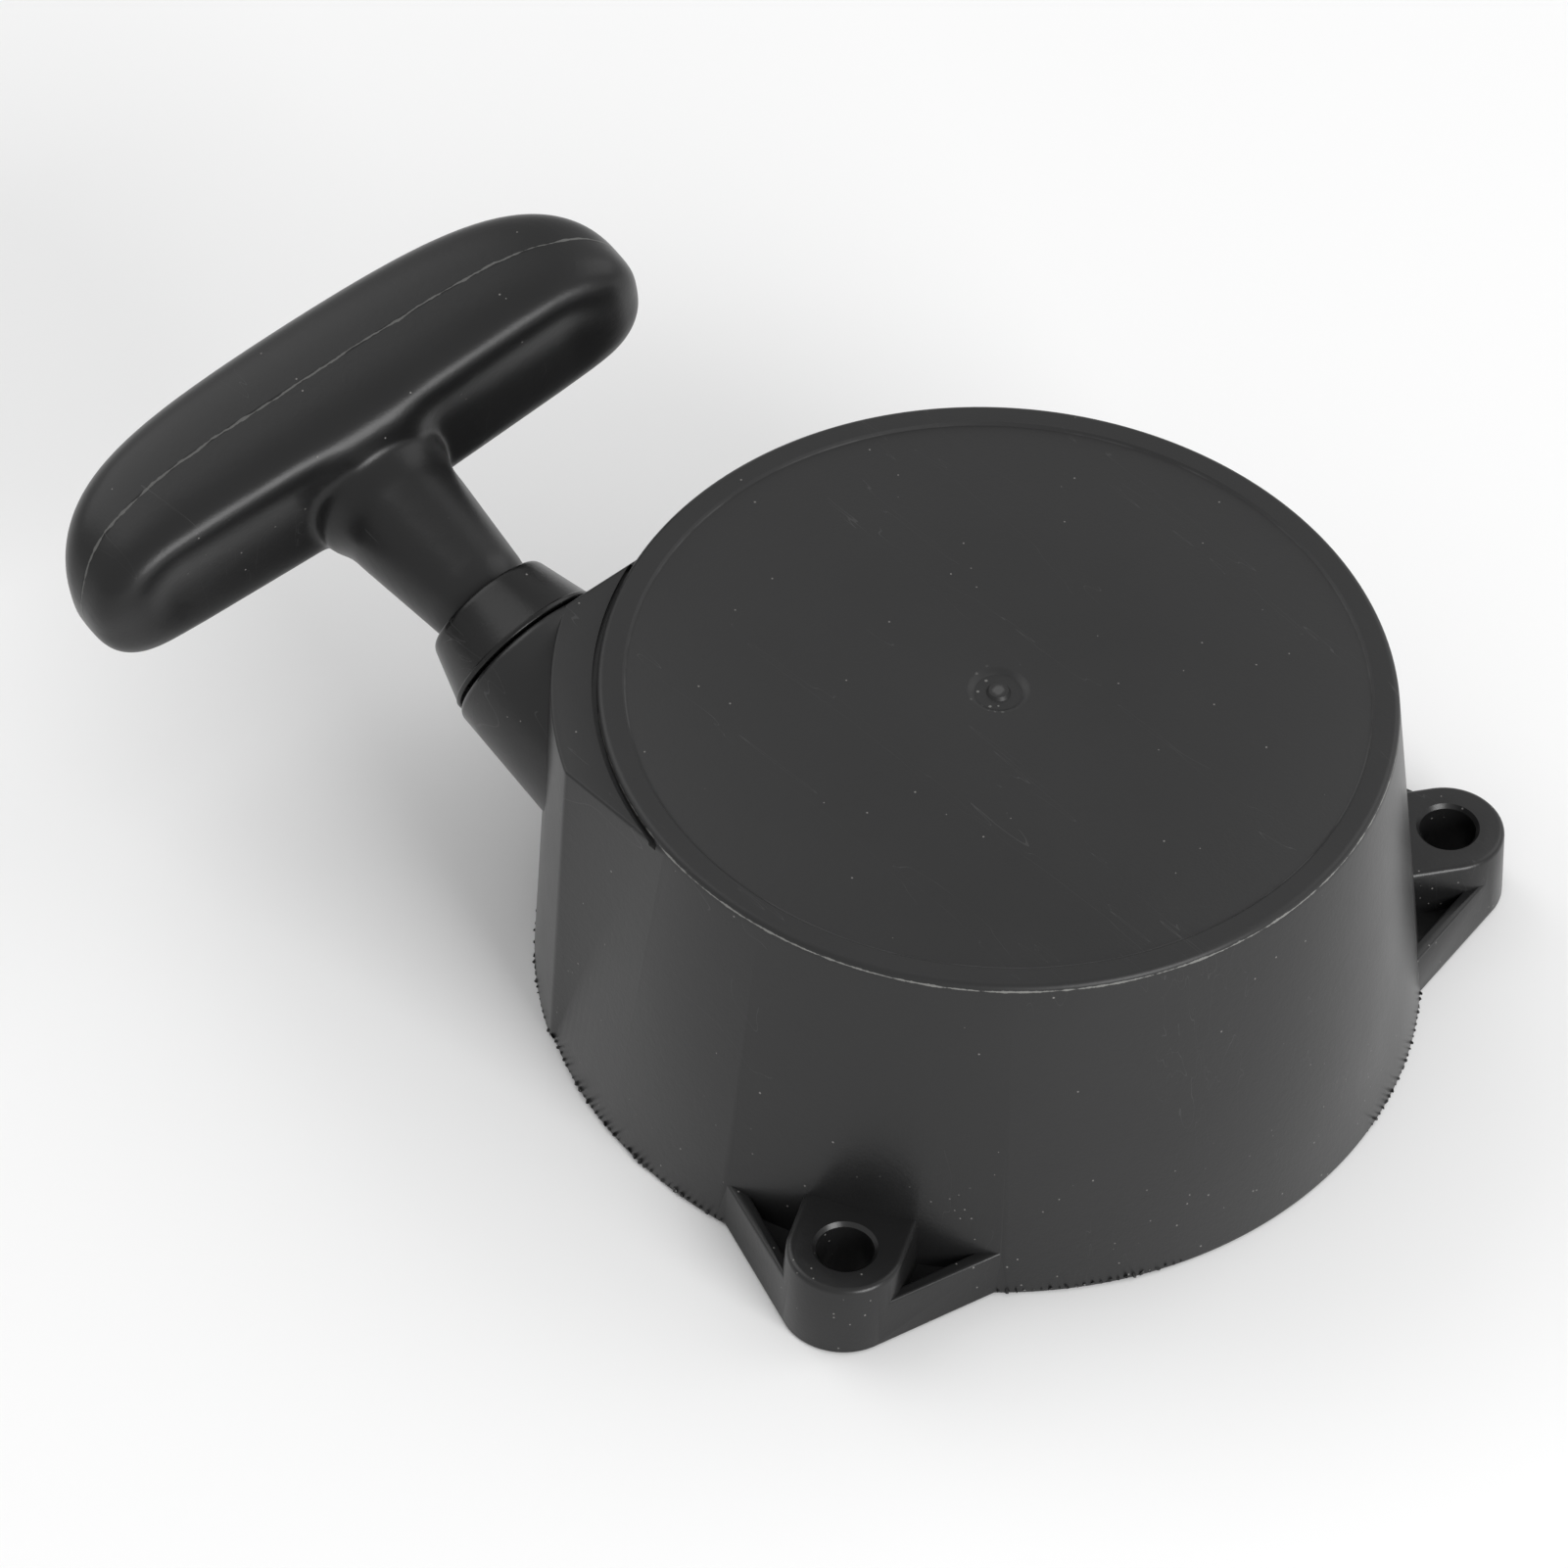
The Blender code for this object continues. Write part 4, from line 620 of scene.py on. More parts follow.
def make_cup(finish):
    panel = CUP_HEIGHT - 0.25 * MM
    edge_round = 0.8 * MM
    edge = arc(edge_round, math.radians(90.0), math.radians(8.0), 8,
               (CUP_TOP_RADIUS - edge_round, CUP_HEIGHT - edge_round))
    skin = [
        (0.0, panel - 0.1 * MM), (1.2 * MM, panel - 0.12 * MM), (1.5 * MM, panel - 0.5 * MM),
        (2.9 * MM, panel - 0.5 * MM), (3.5 * MM, panel - 0.06 * MM), (3.9 * MM, panel),
        (PANEL_RADIUS - 0.2 * MM, panel), (PANEL_RADIUS - 0.05 * MM, panel - 0.05 * MM),
        (PANEL_RADIUS + 0.1 * MM, panel - 0.04 * MM), (PANEL_RADIUS + 0.45 * MM, CUP_HEIGHT),
        *edge,
        (cup_radius(0.5 * MM), 0.5 * MM), (CUP_BASE_RADIUS - 0.2 * MM, 0.0), (0.0, 0.0),
    ]
    cup = turned("cup_blank", skin, 240)
    block_blank = prism("block", block_outline(0.0, BLOCK_DRAFT), block_outline(0.0, 0.0),
                        0.0, BLOCK_TOP)
    combine(cup, soften(block_blank, 0.35 * MM, 3, 25.0), "UNION")

    # The fine groove where the block meets the cup's upper edge.
    groove_span = (math.radians(202.5), math.radians(259.5))
    groove_line = [*arc(48.55 * MM, *groove_span, 48), *reversed(arc(47.93 * MM, *groove_span, 48))]
    groove = prism("block_groove", groove_line, groove_line, 45.8 * MM, 50.0 * MM)
    combine(cup, groove, "DIFFERENCE")

    lip = 1.0 * MM
    snout_depth = 22.0 * MM
    snout_profile = [(0.0, 0.0), *arc(lip, math.radians(90.0), 0.0, 8, (SNOUT_RADIUS - lip, -lip)),
                     (SNOUT_RADIUS, -snout_depth), (0.0, -snout_depth)]
    snout = turned("snout", snout_profile, 128)
    snout.matrix_world = ALONG_OUTLET
    far = 90 * MM
    above_block = [(-far, -far), (0, -far), (0, 10 * MM), (-far, 10 * MM)]
    trim = prism("snout_trim", above_block, above_block, BLOCK_TOP, far)
    combine(snout, trim, "DIFFERENCE")
    combine(cup, snout, "UNION")
    for index, angle in enumerate(EAR_ANGLES):
        for piece in make_ear(index + 1, angle):
            combine(cup, piece, "UNION")

    below = -1.0 * MM
    ceiling = CUP_HEIGHT - CUP_WALL
    hollow = turned("hollow", [(0.0, POST_END), (POST_RADIUS, POST_END),
                               *arc(1.0 * MM, math.radians(180.0), math.radians(90.0), 4,
                                    (POST_RADIUS + 1.0 * MM, ceiling - 1.0 * MM)),
                               (cup_radius(ceiling) - CUP_WALL - 0.8 * MM, ceiling),
                               (cup_radius(ceiling) - CUP_WALL, ceiling - 0.8 * MM),
                               (cup_radius(below) - CUP_WALL, below), (0.0, below)], 240)
    corner_hollow = prism("corner_hollow", block_outline(CUP_WALL, BLOCK_DRAFT),
                          block_outline(CUP_WALL, 0.0), below, BLOCK_TOP - CUP_WALL)
    combine(cup, hollow, "DIFFERENCE")
    combine(cup, corner_hollow, "DIFFERENCE")
    for index, angle in enumerate(COVER_SCREW_ANGLES):
        spot = Matrix.Rotation(angle, 3, "Z") @ Vector((COVER_SCREW_CIRCLE, 0.0, 41.3 * MM))
        combine(cup, rod(f"cover_boss_{index}", 2.8 * MM, 9.4 * MM, spot), "UNION")
        low_spot = Vector((spot.x, spot.y, 39.0 * MM))
        screw_bore = rod(f"cover_screw_bore_{index}", 1.5 * MM, 7.0 * MM, low_spot, segments=32)
        combine(cup, screw_bore, "DIFFERENCE")
    for index, angle in enumerate(EAR_ANGLES):
        spot = Matrix.Rotation(angle, 3, "Z") @ Vector((EAR_CIRCLE_RADIUS, 0.0, EAR_BOSS_HEIGHT / 2))
        reach = 9.0 * MM
        hole = turned(f"ear_bore_{index}", [
            (0.0, reach), (EAR_HOLE_RADIUS + 1.2 * MM, reach),
            (EAR_HOLE_RADIUS + 0.45 * MM, EAR_BOSS_HEIGHT / 2 + 0.02 * MM),
            (EAR_HOLE_RADIUS, EAR_BOSS_HEIGHT / 2 - 0.5 * MM),
            (EAR_HOLE_RADIUS, -reach), (0.0, -reach)], 72)
        hole.location = spot
        combine(cup, hole, "DIFFERENCE")
    bore = rod("outlet_bore", 8.0 * MM, 40.0 * MM, OUTLET_POINT, OUTLET_AXIS, 96)
    seat = rod("insert_bore", 3.9 * MM, 25.0 * MM, (0.0, 0.0, POST_END), segments=48)
    combine(cup, bore, "DIFFERENCE")
    combine(cup, seat, "DIFFERENCE")
    made = baked(cup, "moulded_cup", TO_ROW, 32.0)
    put_down(made, finish, "casing", ["casing"])


# ---------------------------------------------------------------- guide and handle


def make_guide(finish):
    """The bushing: a dished mouth for the stem's nose, a sloping flange and a sleeve in the spout."""
    head = GUIDE_LENGTH
    dish = 7.1 * MM
    bowl = arc(dish, math.radians(-68.5), math.radians(-19.8), 12, (0.0, PIVOT_REACH))
    outside = [
        bowl[-1], (8.0 * MM, head), (8.35 * MM, head - 0.55 * MM), (10.3 * MM, 1.0 * MM),
        (10.45 * MM, 0.9 * MM), (10.45 * MM, 0.3 * MM), (7.7 * MM, 0.3 * MM), (7.7 * MM, -9.0 * MM),
        (6.7 * MM, -10.0 * MM), (4.2 * MM, -10.0 * MM), (3.1 * MM, -9.0 * MM), (2.6 * MM, -7.2 * MM),
        bowl[0],
    ]
    profile = [*bowl[1:-1], *rounded(outside, 0.45 * MM, 3)]
    guide = turned("guide_blank", profile, 160, closed=True)
    guide.matrix_world = ALONG_OUTLET
    made = baked(guide, "flanged_guide", TO_ROW, 45.0)
    put_down(made, finish, "casing", ["rope_guide"])


def grip_section(across):
    """Front, depth, height and the share left by the rounded ends, across the grip from -1 to 1."""
    front = STEM_LENGTH + (3.0 * across**2 - 3.7 * across**4) * MM
    depth = GRIP_DEPTH - (5.2 * across**2 + 2.6 * across**4) * MM
    height = (22.4 - 1.8 * across**2) * MM
    left = max(1.0 - abs(across) ** 9.0, 0.0)
    return front, depth, height, left


def eased(value, low, high):
    share = min(max((value - low) / (high - low), 0.0), 1.0)
    return share * share * (3.0 - 2.0 * share)


def grip_loop(half_depth, half_height, across, steps):
    """A rounded section, with crisp ridges and a hollow between them on its finger side."""
    scoop = 1.9 * MM * eased(abs(across), 0.08, 0.24) * eased(abs(across), 0.9, 0.7)
    points = []
    for step in range(steps):
        angle = 2.0 * math.pi * step / steps
        along, up = math.cos(angle), math.sin(angle)
        power = 3.5 + 0.9 * max(0.0, -along) * (1.0 - across**4)
        size = (abs(along) ** power + abs(up) ** power) ** (-1.0 / power)
        level = up * size
        depth = along * size * half_depth
        if along < 0.0:
            depth += scoop * (1.0 - level**2) ** 2
        points.append((depth, half_height * level))
    return points


def make_handle(finish):
    """Lofts the grip, joins the stem to it in one skin, then bores it and marks the parting line."""
    rings = 110
    steps = 72
    bm = bmesh.new()
    loops = []
    for ring in range(rings):
        across = math.sin(math.pi / 2 * (-1.0 + 2.0 * (ring + 0.08) / (rings - 0.84)))
        front, depth, height, left = grip_section(across)
        half_depth = depth / 2 * left ** (1.0 / 2.7)
        half_height = height / 2 * left ** (1.0 / 2.1)
        loops.append([bm.verts.new((-(front + depth / 2) - x, across * GRIP_LENGTH / 2, GRIP_RISE + z))
                      for x, z in grip_loop(half_depth, half_height, across, steps)])
    for first, second in zip(loops, loops[1:]):
        for step in range(steps):
            following = (step + 1) % steps
            bm.faces.new((first[step], first[following], second[following], second[step]))
    bm.faces.new(loops[0])
    bm.faces.new(loops[-1])
    grip = bench_object("grip_blank", mesh_from(bm, "grip_blank"))

    nose_radius = 6.8 * MM
    nose = [(nose_radius * math.sin(angle), nose_radius * math.cos(angle))
            for angle in (math.radians(40.0 + 50.0 * step / 10) for step in range(11))]
    root = -STEM_LENGTH
    flare = [(8.1 * MM + 1.3 * MM * (share**2.2), root + 5.0 * MM * (1.0 - share))
             for share in (step / 8 for step in range(9))]
    stem = turned("stem_blank", [(0.0, nose[0][1]), *nose, *flare, (9.4 * MM, root - 2.0 * MM),
                                 (8.0 * MM, root - 8.0 * MM), (0.0, root - 8.0 * MM)], 96)
    stem.rotation_euler = (0.0, math.radians(90.0), STEM_LEAN)
    combine(grip, stem, "UNION")
    remesh = grip.modifiers.new("One skin", "REMESH")
    remesh.mode = "VOXEL"
    remesh.voxel_size = 0.45 * MM
    ease = grip.modifiers.new("Ease", "SMOOTH")
    ease.factor = 0.5
    ease.iterations = 15

    hole = rod("stem_bore", HANDLE_BORE_RADIUS, 110.0 * MM, (0.0, 0.0, 0.0), (1, 0, 0), 40)
    back = STEM_LENGTH + GRIP_DEPTH
    recess = rod("knot_bore", 5.6 * MM, 15.0 * MM, (3.5 * MM - back, 0.0, 0.0), (1, 0, 0), 64)
    reach = 7.8 * MM
    funnel_line = [(0.0, reach), (4.15 * MM, reach), (HANDLE_BORE_RADIUS, 0.0), (0.0, 0.0)]
    funnel = turned("funnel", funnel_line, 64)
    funnel.rotation_euler = (0.0, math.radians(90.0), 0.0)
    for piece in (hole, recess, funnel):
        combine(grip, piece, "DIFFERENCE")
    bpy.context.view_layer.update()
    made = baked(grip, "moulded_handle", Matrix.Identity(4), 50.0)
    seam = made.data.attributes.new("seam", "FLOAT", "POINT")
    far_from_seam = -0.05
    for vert, value in zip(made.data.vertices, seam.data):
        across = max(min(vert.co.y / (GRIP_LENGTH / 2), 1.0), -1.0)
        front, depth = grip_section(across)[:2]
        offset = -vert.co.x - (front + depth / 2)
        value.value = offset if vert.co.x < -STEM_LENGTH else far_from_seam
    made.data.transform(TO_ROW @ HANDLE_FRAME)
    put_down(made, finish, "handle", ["pull_handle"])


# ---------------------------------------------------------------- rope


def swept(name, points, radius, sides=20):
    """A round tube along the points, with a map of turns round it and metres along it."""
    bm = bmesh.new()
    uv = bm.loops.layers.uv.new("along")
    count = len(points)
    ways = [(points[min(i + 1, count - 1)] - points[max(i - 1, 0)]).normalized() for i in range(count)]
    side = ways[0].orthogonal().normalized()
    rings = []
    travelled = [0.0]
    for index, (point, way) in enumerate(zip(points, ways)):
        side = (side - way * side.dot(way)).normalized()
        other = way.cross(side)
        rings.append([bm.verts.new(point + (side * math.cos(a) + other * math.sin(a)) * radius)
                      for a in (2 * math.pi * step / sides for step in range(sides))])
        if index:
            travelled.append(travelled[-1] + (point - points[index - 1]).length)
    for index in range(count - 1):
        for step in range(sides):
            following = (step + 1) % sides
            face = bm.faces.new((rings[index][step], rings[index][following],
                                 rings[index + 1][following], rings[index + 1][step]))
            turns = (step / sides, (step + 1) / sides, (step + 1) / sides, step / sides)
            lengths = (travelled[index],) * 2 + (travelled[index + 1],) * 2
            for loop, turn, length in zip(face.loops, turns, lengths):
                loop[uv].uv = (turn, length)
    bm.faces.new(reversed(rings[0]))
    bm.faces.new(rings[-1])
    mesh = mesh_from(bm, name)
    mesh.shade_smooth()
    mesh.set_sharp_from_angle(angle=math.radians(60.0))
    made = bpy.data.objects.new(name, mesh)
    bpy.context.scene.collection.objects.link(made)
    return made


def rope_turns(first_place, places):
    """The rope's centre line over some turns, where each turn steps on to the next place."""
    per_turn = 48
    wait = 4
    points = []
    length = places * per_turn - wait * places
    for step in range(length, -1, -1):
        place = places - 1
        for turn in range(1, places):
            begin = turn * (per_turn - wait)
            share = min(max((step - begin) / wait + 1.0, 0.0), 1.0)
            place -= share * share * (3.0 - 2.0 * share)
        lower = min(int(place), places - 2)
        share = place - lower
        near, far = turn_place(first_place + lower), turn_place(first_place + lower + 1)
        radius = near[0] + (far[0] - near[0]) * share
        height = near[1] + (far[1] - near[1]) * share
        angle = 2.0 * math.pi * (step / per_turn - 0.25)
        points.append(Vector((radius * math.cos(angle), radius * math.sin(angle), height)))
    return points


def turn_place(whole):
    """Radius and height of one whole turn. Odd layers run back down the groove."""
    layer, column = divmod(whole, 2)
    if layer % 2:
        column = 1 - column
    radius = ROPE_OUTER_LAYER - (2 - layer) * ROPE_LAYER_PITCH
    return radius, ROPE_MIDDLE_HEIGHT + (column - 0.5) * ROPE_COLUMN_PITCH


def knot_points(size):
    """The centre line of a closed overhand knot, with its axis along X."""
    turns = [2.0 * math.pi * step / 96 for step in range(97)]
    return [Vector((-math.sin(3 * turn) * 0.9, math.sin(turn) + 2 * math.sin(2 * turn),
                    math.cos(turn) - 2 * math.cos(2 * turn))) * size for turn in turns]


def make_rope(finish):
    def laid(name, points, body, node, matrix=TO_ROW, radius=ROPE_RADIUS):
        made = swept(name, [matrix @ point for point in points], radius)
        put_down(made, finish, body, [node])

    laid("cord_winding", rope_turns(0, 4), "reel", "rope_winding")

    # The loose outermost layer, the run to the spout, an eased bend and the run up the spout.
    height = ROPE_MIDDLE_HEIGHT + ROPE_COLUMN_PITCH / 2
    ease = 4.0 * MM
    bend_x = OUTLET_POINT.x + (OUTLET_POINT.z - height) / math.tan(OUTLET_TILT)
    bend = Vector((bend_x, OUTLET_POINT.y, height))
    before = bend + Vector((ease, 0.0, 0.0))
    after = bend + OUTLET_AXIS * ease
    lead = rope_turns(4, 2)
    start = lead[-1]
    lead += [start.lerp(before, step / 20) for step in range(1, 20)]
    for step in range(13):
        share = step / 12
        lead.append(before.lerp(bend, share).lerp(bend.lerp(after, share), share))
    lead += [after.lerp(OUTLET_POINT, step / 8) for step in range(1, 9)]
    laid("cord_lead", lead, "casing", "rope_lead")

    # This length draws out between the guide and the handle as the handle is pulled.
    near = OUTLET_POINT + OUTLET_AXIS * 0.5 * MM
    far = PIVOT - OUTLET_AXIS * 0.6 * MM
    throat_line = [TO_ROW @ near.lerp(far, step / 80) for step in range(81)]
    throat = swept("cord_throat", throat_line, ROPE_RADIUS)
    throat.data.materials.append(finish)
    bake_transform(throat)
    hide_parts("rope_throat")

    in_handle = TO_ROW @ HANDLE_FRAME
    inner = Vector((-0.6 * MM, 0.0, 0.0))
    outer = Vector((-31.0 * MM, 0.0, 0.0))
    tail = [inner.lerp(outer, step / 20) for step in range(21)]
    laid("cord_tail", tail, "handle", "rope_tail", in_handle)
    knot_place = in_handle @ Matrix.Translation(Vector((-34.4 * MM, 0.0, 0.0)))
    laid("cord_knot", knot_points(1.1 * MM), "handle", "handle_knot", knot_place, 1.45 * MM)


# ---------------------------------------------------------------- node-built pieces


class Maker:
    """A geometry node tree with named inputs, ended by Realize Instances and Set Material."""

    def __init__(self, name, inputs, finish):
        self.tree = bpy.data.node_groups.new(name, "GeometryNodeTree")
        self.tree.interface.new_socket("Geometry", in_out="INPUT", socket_type="NodeSocketGeometry")
        for label, kind in inputs:
            self.tree.interface.new_socket(label, in_out="INPUT", socket_type=kind)
        self.tree.interface.new_socket("Geometry", in_out="OUTPUT",
                                       socket_type="NodeSocketGeometry")
        self.start = self.add("NodeGroupInput")
        self.finish = finish

    def add(self, kind, links=(), **settings):
        node = self.tree.nodes.new(kind)
        for name, value in settings.items():
            setattr(node, name, value)
        for socket, value in dict(links).items():
            if hasattr(value, "is_output"):
                self.tree.links.new(value, node.inputs[socket])
            else:
                node.inputs[socket].default_value = value
        return node

    def input(self, label):
        return self.start.outputs[label]

    def math(self, operation, a, b=0.0, c=0.0):
        return self.add("ShaderNodeMath", {0: a, 1: b, 2: c}, operation=operation).outputs[0]

    def end(self, geometry, smooth):
        real = self.add("GeometryNodeRealizeInstances", {"Geometry": geometry})
        shade = self.add("GeometryNodeSetShadeSmooth",
                         {"Geometry": real.outputs[0], "Shade Smooth": smooth})
        dress = self.add("GeometryNodeSetMaterial",
                         {"Geometry": shade.outputs[0], "Material": self.finish})
        self.add("NodeGroupOutput", {0: dress.outputs[0]})

    def make(self, name, mesh, values, body, nodes, sharp=35.0):
        """Runs the tree on a mesh of points and puts the plain result down as one piece."""
        host = bench_object(f"{name}_points", mesh)
        modifier = host.modifiers.new("Build", "NODES")
        modifier.node_group = self.tree
        sockets = {item.name: item.identifier for item in self.tree.interface.items_tree
                   if item.item_type == "SOCKET" and item.in_out == "INPUT"}
        for label, value in values.items():
            modifier[sockets[label]] = value
        bpy.context.view_layer.update()
        built = host.evaluated_get(bpy.context.evaluated_depsgraph_get())
        result = bpy.data.meshes.new_from_object(built)
        result.name = name
        result.transform(TO_ROW)
        result.polygons.foreach_set("material_index", [0] * len(result.polygons))
        result.materials.clear()
        result.materials.append(self.finish)
        result.set_sharp_from_angle(angle=math.radians(sharp))
        host.modifiers.remove(modifier)
        made = bpy.data.objects.new(name, result)
        bpy.context.scene.collection.objects.link(made)
        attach(made, body)
        if nodes:
            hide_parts(*nodes)
        return made


def points_mesh(name, points, joined=False):
    mesh = bpy.data.meshes.new(name)
    edges = [(index, (index + 1) % len(points)) for index in range(len(points))] if joined else []
    mesh.from_pydata(points, edges, [])
    return mesh


def make_recoil_strip(finish):
    """A flat steel strip on edge, wound outwards, closer towards its outer end."""
    sizes = [("Inner Radius", "NodeSocketFloat"), ("Outer Radius", "NodeSocketFloat"),
             ("Turns", "NodeSocketFloat"), ("Strip", "NodeSocketFloat"), ("Depth", "NodeSocketFloat")]
    maker = Maker("wound_strip", sizes, finish)
    line = maker.add("GeometryNodeCurvePrimitiveLine", {"End": (1.0, 0.0, 0.0)})
    fine = maker.add("GeometryNodeResampleCurve", {"Curve": line.outputs[0], "Count": 769})
    share = maker.add("GeometryNodeSplineParameter").outputs["Factor"]
    packed = maker.math("POWER", share, 0.8)
    span = maker.math("SUBTRACT", maker.input("Outer Radius"), maker.input("Inner Radius"))
    radius = maker.math("MULTIPLY_ADD", span, packed, maker.input("Inner Radius"))
    angle = maker.math("MULTIPLY", maker.math("MULTIPLY", share, maker.input("Turns")), 2.0 * math.pi)
    along = maker.math("MULTIPLY", radius, maker.math("COSINE", angle))
    across = maker.math("MULTIPLY", radius, maker.math("SINE", angle))
    place = maker.add("ShaderNodeCombineXYZ", {0: along, 1: across, 2: SPRING_MIDDLE_HEIGHT})
    wound = maker.add("GeometryNodeSetPosition",
                      {"Geometry": fine.outputs[0], "Position": place.outputs[0]})
    upright = maker.add("GeometryNodeSetCurveNormal", {"Curve": wound.outputs[0]}, mode="Z_UP")
    section = maker.add("GeometryNodeCurvePrimitiveQuadrilateral",
                        {"Width": maker.input("Strip"), "Height": maker.input("Depth")})
    swept_strip = maker.add("GeometryNodeCurveToMesh", {
        "Curve": upright.outputs[0], "Profile Curve": section.outputs[0], "Fill Caps": True})
    maker.end(swept_strip.outputs[0], True)
    values = {"Inner Radius": 13.6 * MM, "Outer Radius": 34.3 * MM, "Turns": 8.0,
              "Strip": 0.6 * MM, "Depth": 6.4 * MM}
    maker.make("wound_spring", points_mesh("spring_points", [(0.0, 0.0, 0.0)]), values, "casing",
               ["recoil_spring"])


def screw_blank():
    """A pan-head screw with a cross recess and a rolled thread, its seat at height 0."""
    dome = [(0.0, -1.75), (0.9, -1.74), (1.45, -1.6), (1.95, -1.2), (2.2, -0.7), (2.25, -0.1),
            (2.15, 0.0), (1.1, 0.0)]
    thread_pitch = 0.72
    thread = []
    for index in range(7):
        level = 0.35 + index * thread_pitch
        thread += [(1.08, level), (1.35, level + 0.3), (1.35, level + 0.36), (1.08, level + 0.66)]
    profile = [*dome, *thread, (0.95, 5.6), (0.0, 6.4)]
    body = turned("screw_body", [(radius * MM, height * MM) for radius, height in profile], 48)
    wide, narrow = (
        [(-x * MM, -y * MM), (x * MM, -y * MM), (x * MM, y * MM), (-x * MM, y * MM)]
        for x, y in ((1.15, 0.24), (0.4, 0.2))
    )
    for turn in (0.0, 90.0):
        slot = prism(f"recess_{turn:.0f}", wide, narrow, -2.0 * MM, -0.6 * MM)
        slot.rotation_euler = (0.0, 0.0, math.radians(turn))
        combine(body, slot, "DIFFERENCE")
    bpy.context.view_layer.update()
    built = body.evaluated_get(bpy.context.evaluated_depsgraph_get())
    return bench_object("screw_pattern", bpy.data.meshes.new_from_object(built))


def make_cover_screws(finish):
    """The spring cover's screws, each turned at random where driving left its cross."""
    sockets = [("Pattern", "NodeSocketObject"), ("Seed", "NodeSocketInt")]
    maker = Maker("driven_screws", sockets, finish)
    pattern = maker.add("GeometryNodeObjectInfo",
                        {"Object": maker.input("Pattern"), "As Instance": True})
    turn = maker.add("FunctionNodeRandomValue", {"Max": math.pi, "Seed": maker.input("Seed")},
                     data_type="FLOAT")
    turn_out = next(socket for socket in turn.outputs if socket.enabled)
    angles = maker.add("ShaderNodeCombineXYZ", {2: turn_out})
    copies = maker.add("GeometryNodeInstanceOnPoints", {
        "Points": maker.input("Geometry"), "Instance": pattern.outputs["Geometry"],
        "Rotation": angles.outputs[0]})
    maker.end(copies.outputs[0], True)
    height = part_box("spring_cover")[0][2]
    places = [(COVER_SCREW_CIRCLE * math.cos(angle), COVER_SCREW_CIRCLE * math.sin(angle), height)
              for angle in COVER_SCREW_ANGLES]
    maker.make("cover_screws", points_mesh("screw_points", places),
               {"Pattern": screw_blank(), "Seed": 3}, "casing",
               ["cover_screw_1", "cover_screw_2", "cover_screw_3"])


def base_outline():
    """The cup's foot seen from above, with its corner block, drawn in a little at its far side."""
    inset = 0.12 * MM
    far_side_inset = 0.5 * MM
    points = []
    for step in range(360):
        angle = math.radians(step)
        radius = CUP_BASE_RADIUS - (far_side_inset if math.cos(angle) > 0.96 else inset)
        x, y = radius * math.cos(angle), radius * math.sin(angle)
        if x < 0.0 and y < 0.0:
            limit_x, limit_y = BLOCK_REACH_X + BLOCK_DRAFT, BLOCK_REACH_Y + BLOCK_DRAFT
            corner = BLOCK_CORNER_RADIUS + BLOCK_DRAFT
            reach = min(corner, limit_x / max(-x / radius, 1e-6), limit_y / max(-y / radius, 1e-6))
            scale = max(reach - inset, radius) / radius
            x, y = x * scale, y * scale
        points.append((x, y, 0.45 * MM))
    return points


def make_flash_crumbs(finish):
    """The torn crumbs of flash that a worn mould leaves round the cup's foot."""
    maker = Maker("torn_flash", [("Count", "NodeSocketInt"), ("Size", "NodeSocketFloat"),
                                 ("Seed", "NodeSocketInt")], finish)
    path = maker.add("GeometryNodeMeshToCurve", {"Mesh": maker.input("Geometry")})
    spread = maker.add("GeometryNodeResampleCurve",
                       {"Curve": path.outputs[0], "Count": maker.input("Count")})
    crumb = maker.add("GeometryNodeMeshIcoSphere",
                      {"Radius": maker.input("Size"), "Subdivisions": 1})
    size = maker.add("FunctionNodeRandomValue", {"Seed": maker.input("Seed")}, data_type="FLOAT_VECTOR")
    size.inputs[0].default_value = (0.25, 0.25, 0.3)
    size.inputs[1].default_value = (1.3, 0.8, 0.9)
    size_out = next(socket for socket in size.outputs if socket.enabled)
    turn = maker.add("FunctionNodeRandomValue", {"Seed": maker.input("Seed")}, data_type="FLOAT_VECTOR")
    turn.inputs[1].default_value = (0.6, 0.6, 6.28)
    turn_out = next(socket for socket in turn.outputs if socket.enabled)
    copies = maker.add("GeometryNodeInstanceOnPoints", {
        "Points": spread.outputs[0], "Instance": crumb.outputs[0],
        "Rotation": turn_out, "Scale": size_out})
    maker.end(copies.outputs[0], True)
    maker.make("flash_crumbs", points_mesh("foot_points", base_outline(), True),
               {"Count": 330, "Size": 0.42 * MM, "Seed": 11}, "casing", [])


# ---------------------------------------------------------------- carried-over nodes


def metal_finishes():
    """The finishes of the pieces inside, by the record's material slots."""
    cord = steel_finish("knot_cord", (0.7, 0.69, 0.65), 0.8, 1.0)
    cord.node_tree.nodes["Principled BSDF"].inputs["Metallic"].default_value = 0.0
    return {
        "plated_steel": steel_finish("zinc_plate", (0.62, 0.62, 0.63), 0.26, 1.0),
        "spring_steel": steel_finish("blued_strip", (0.3, 0.31, 0.34), 0.24, 6.0),
        "hardened_steel": steel_finish("sintered_steel", (0.36, 0.355, 0.35), 0.4, 1.0),
        "insert_brass": steel_finish("turned_brass", (0.74, 0.56, 0.27), 0.25, 8.0),
        "reel_plastic": reel_finish(),
        "braided_rope": cord,
    }


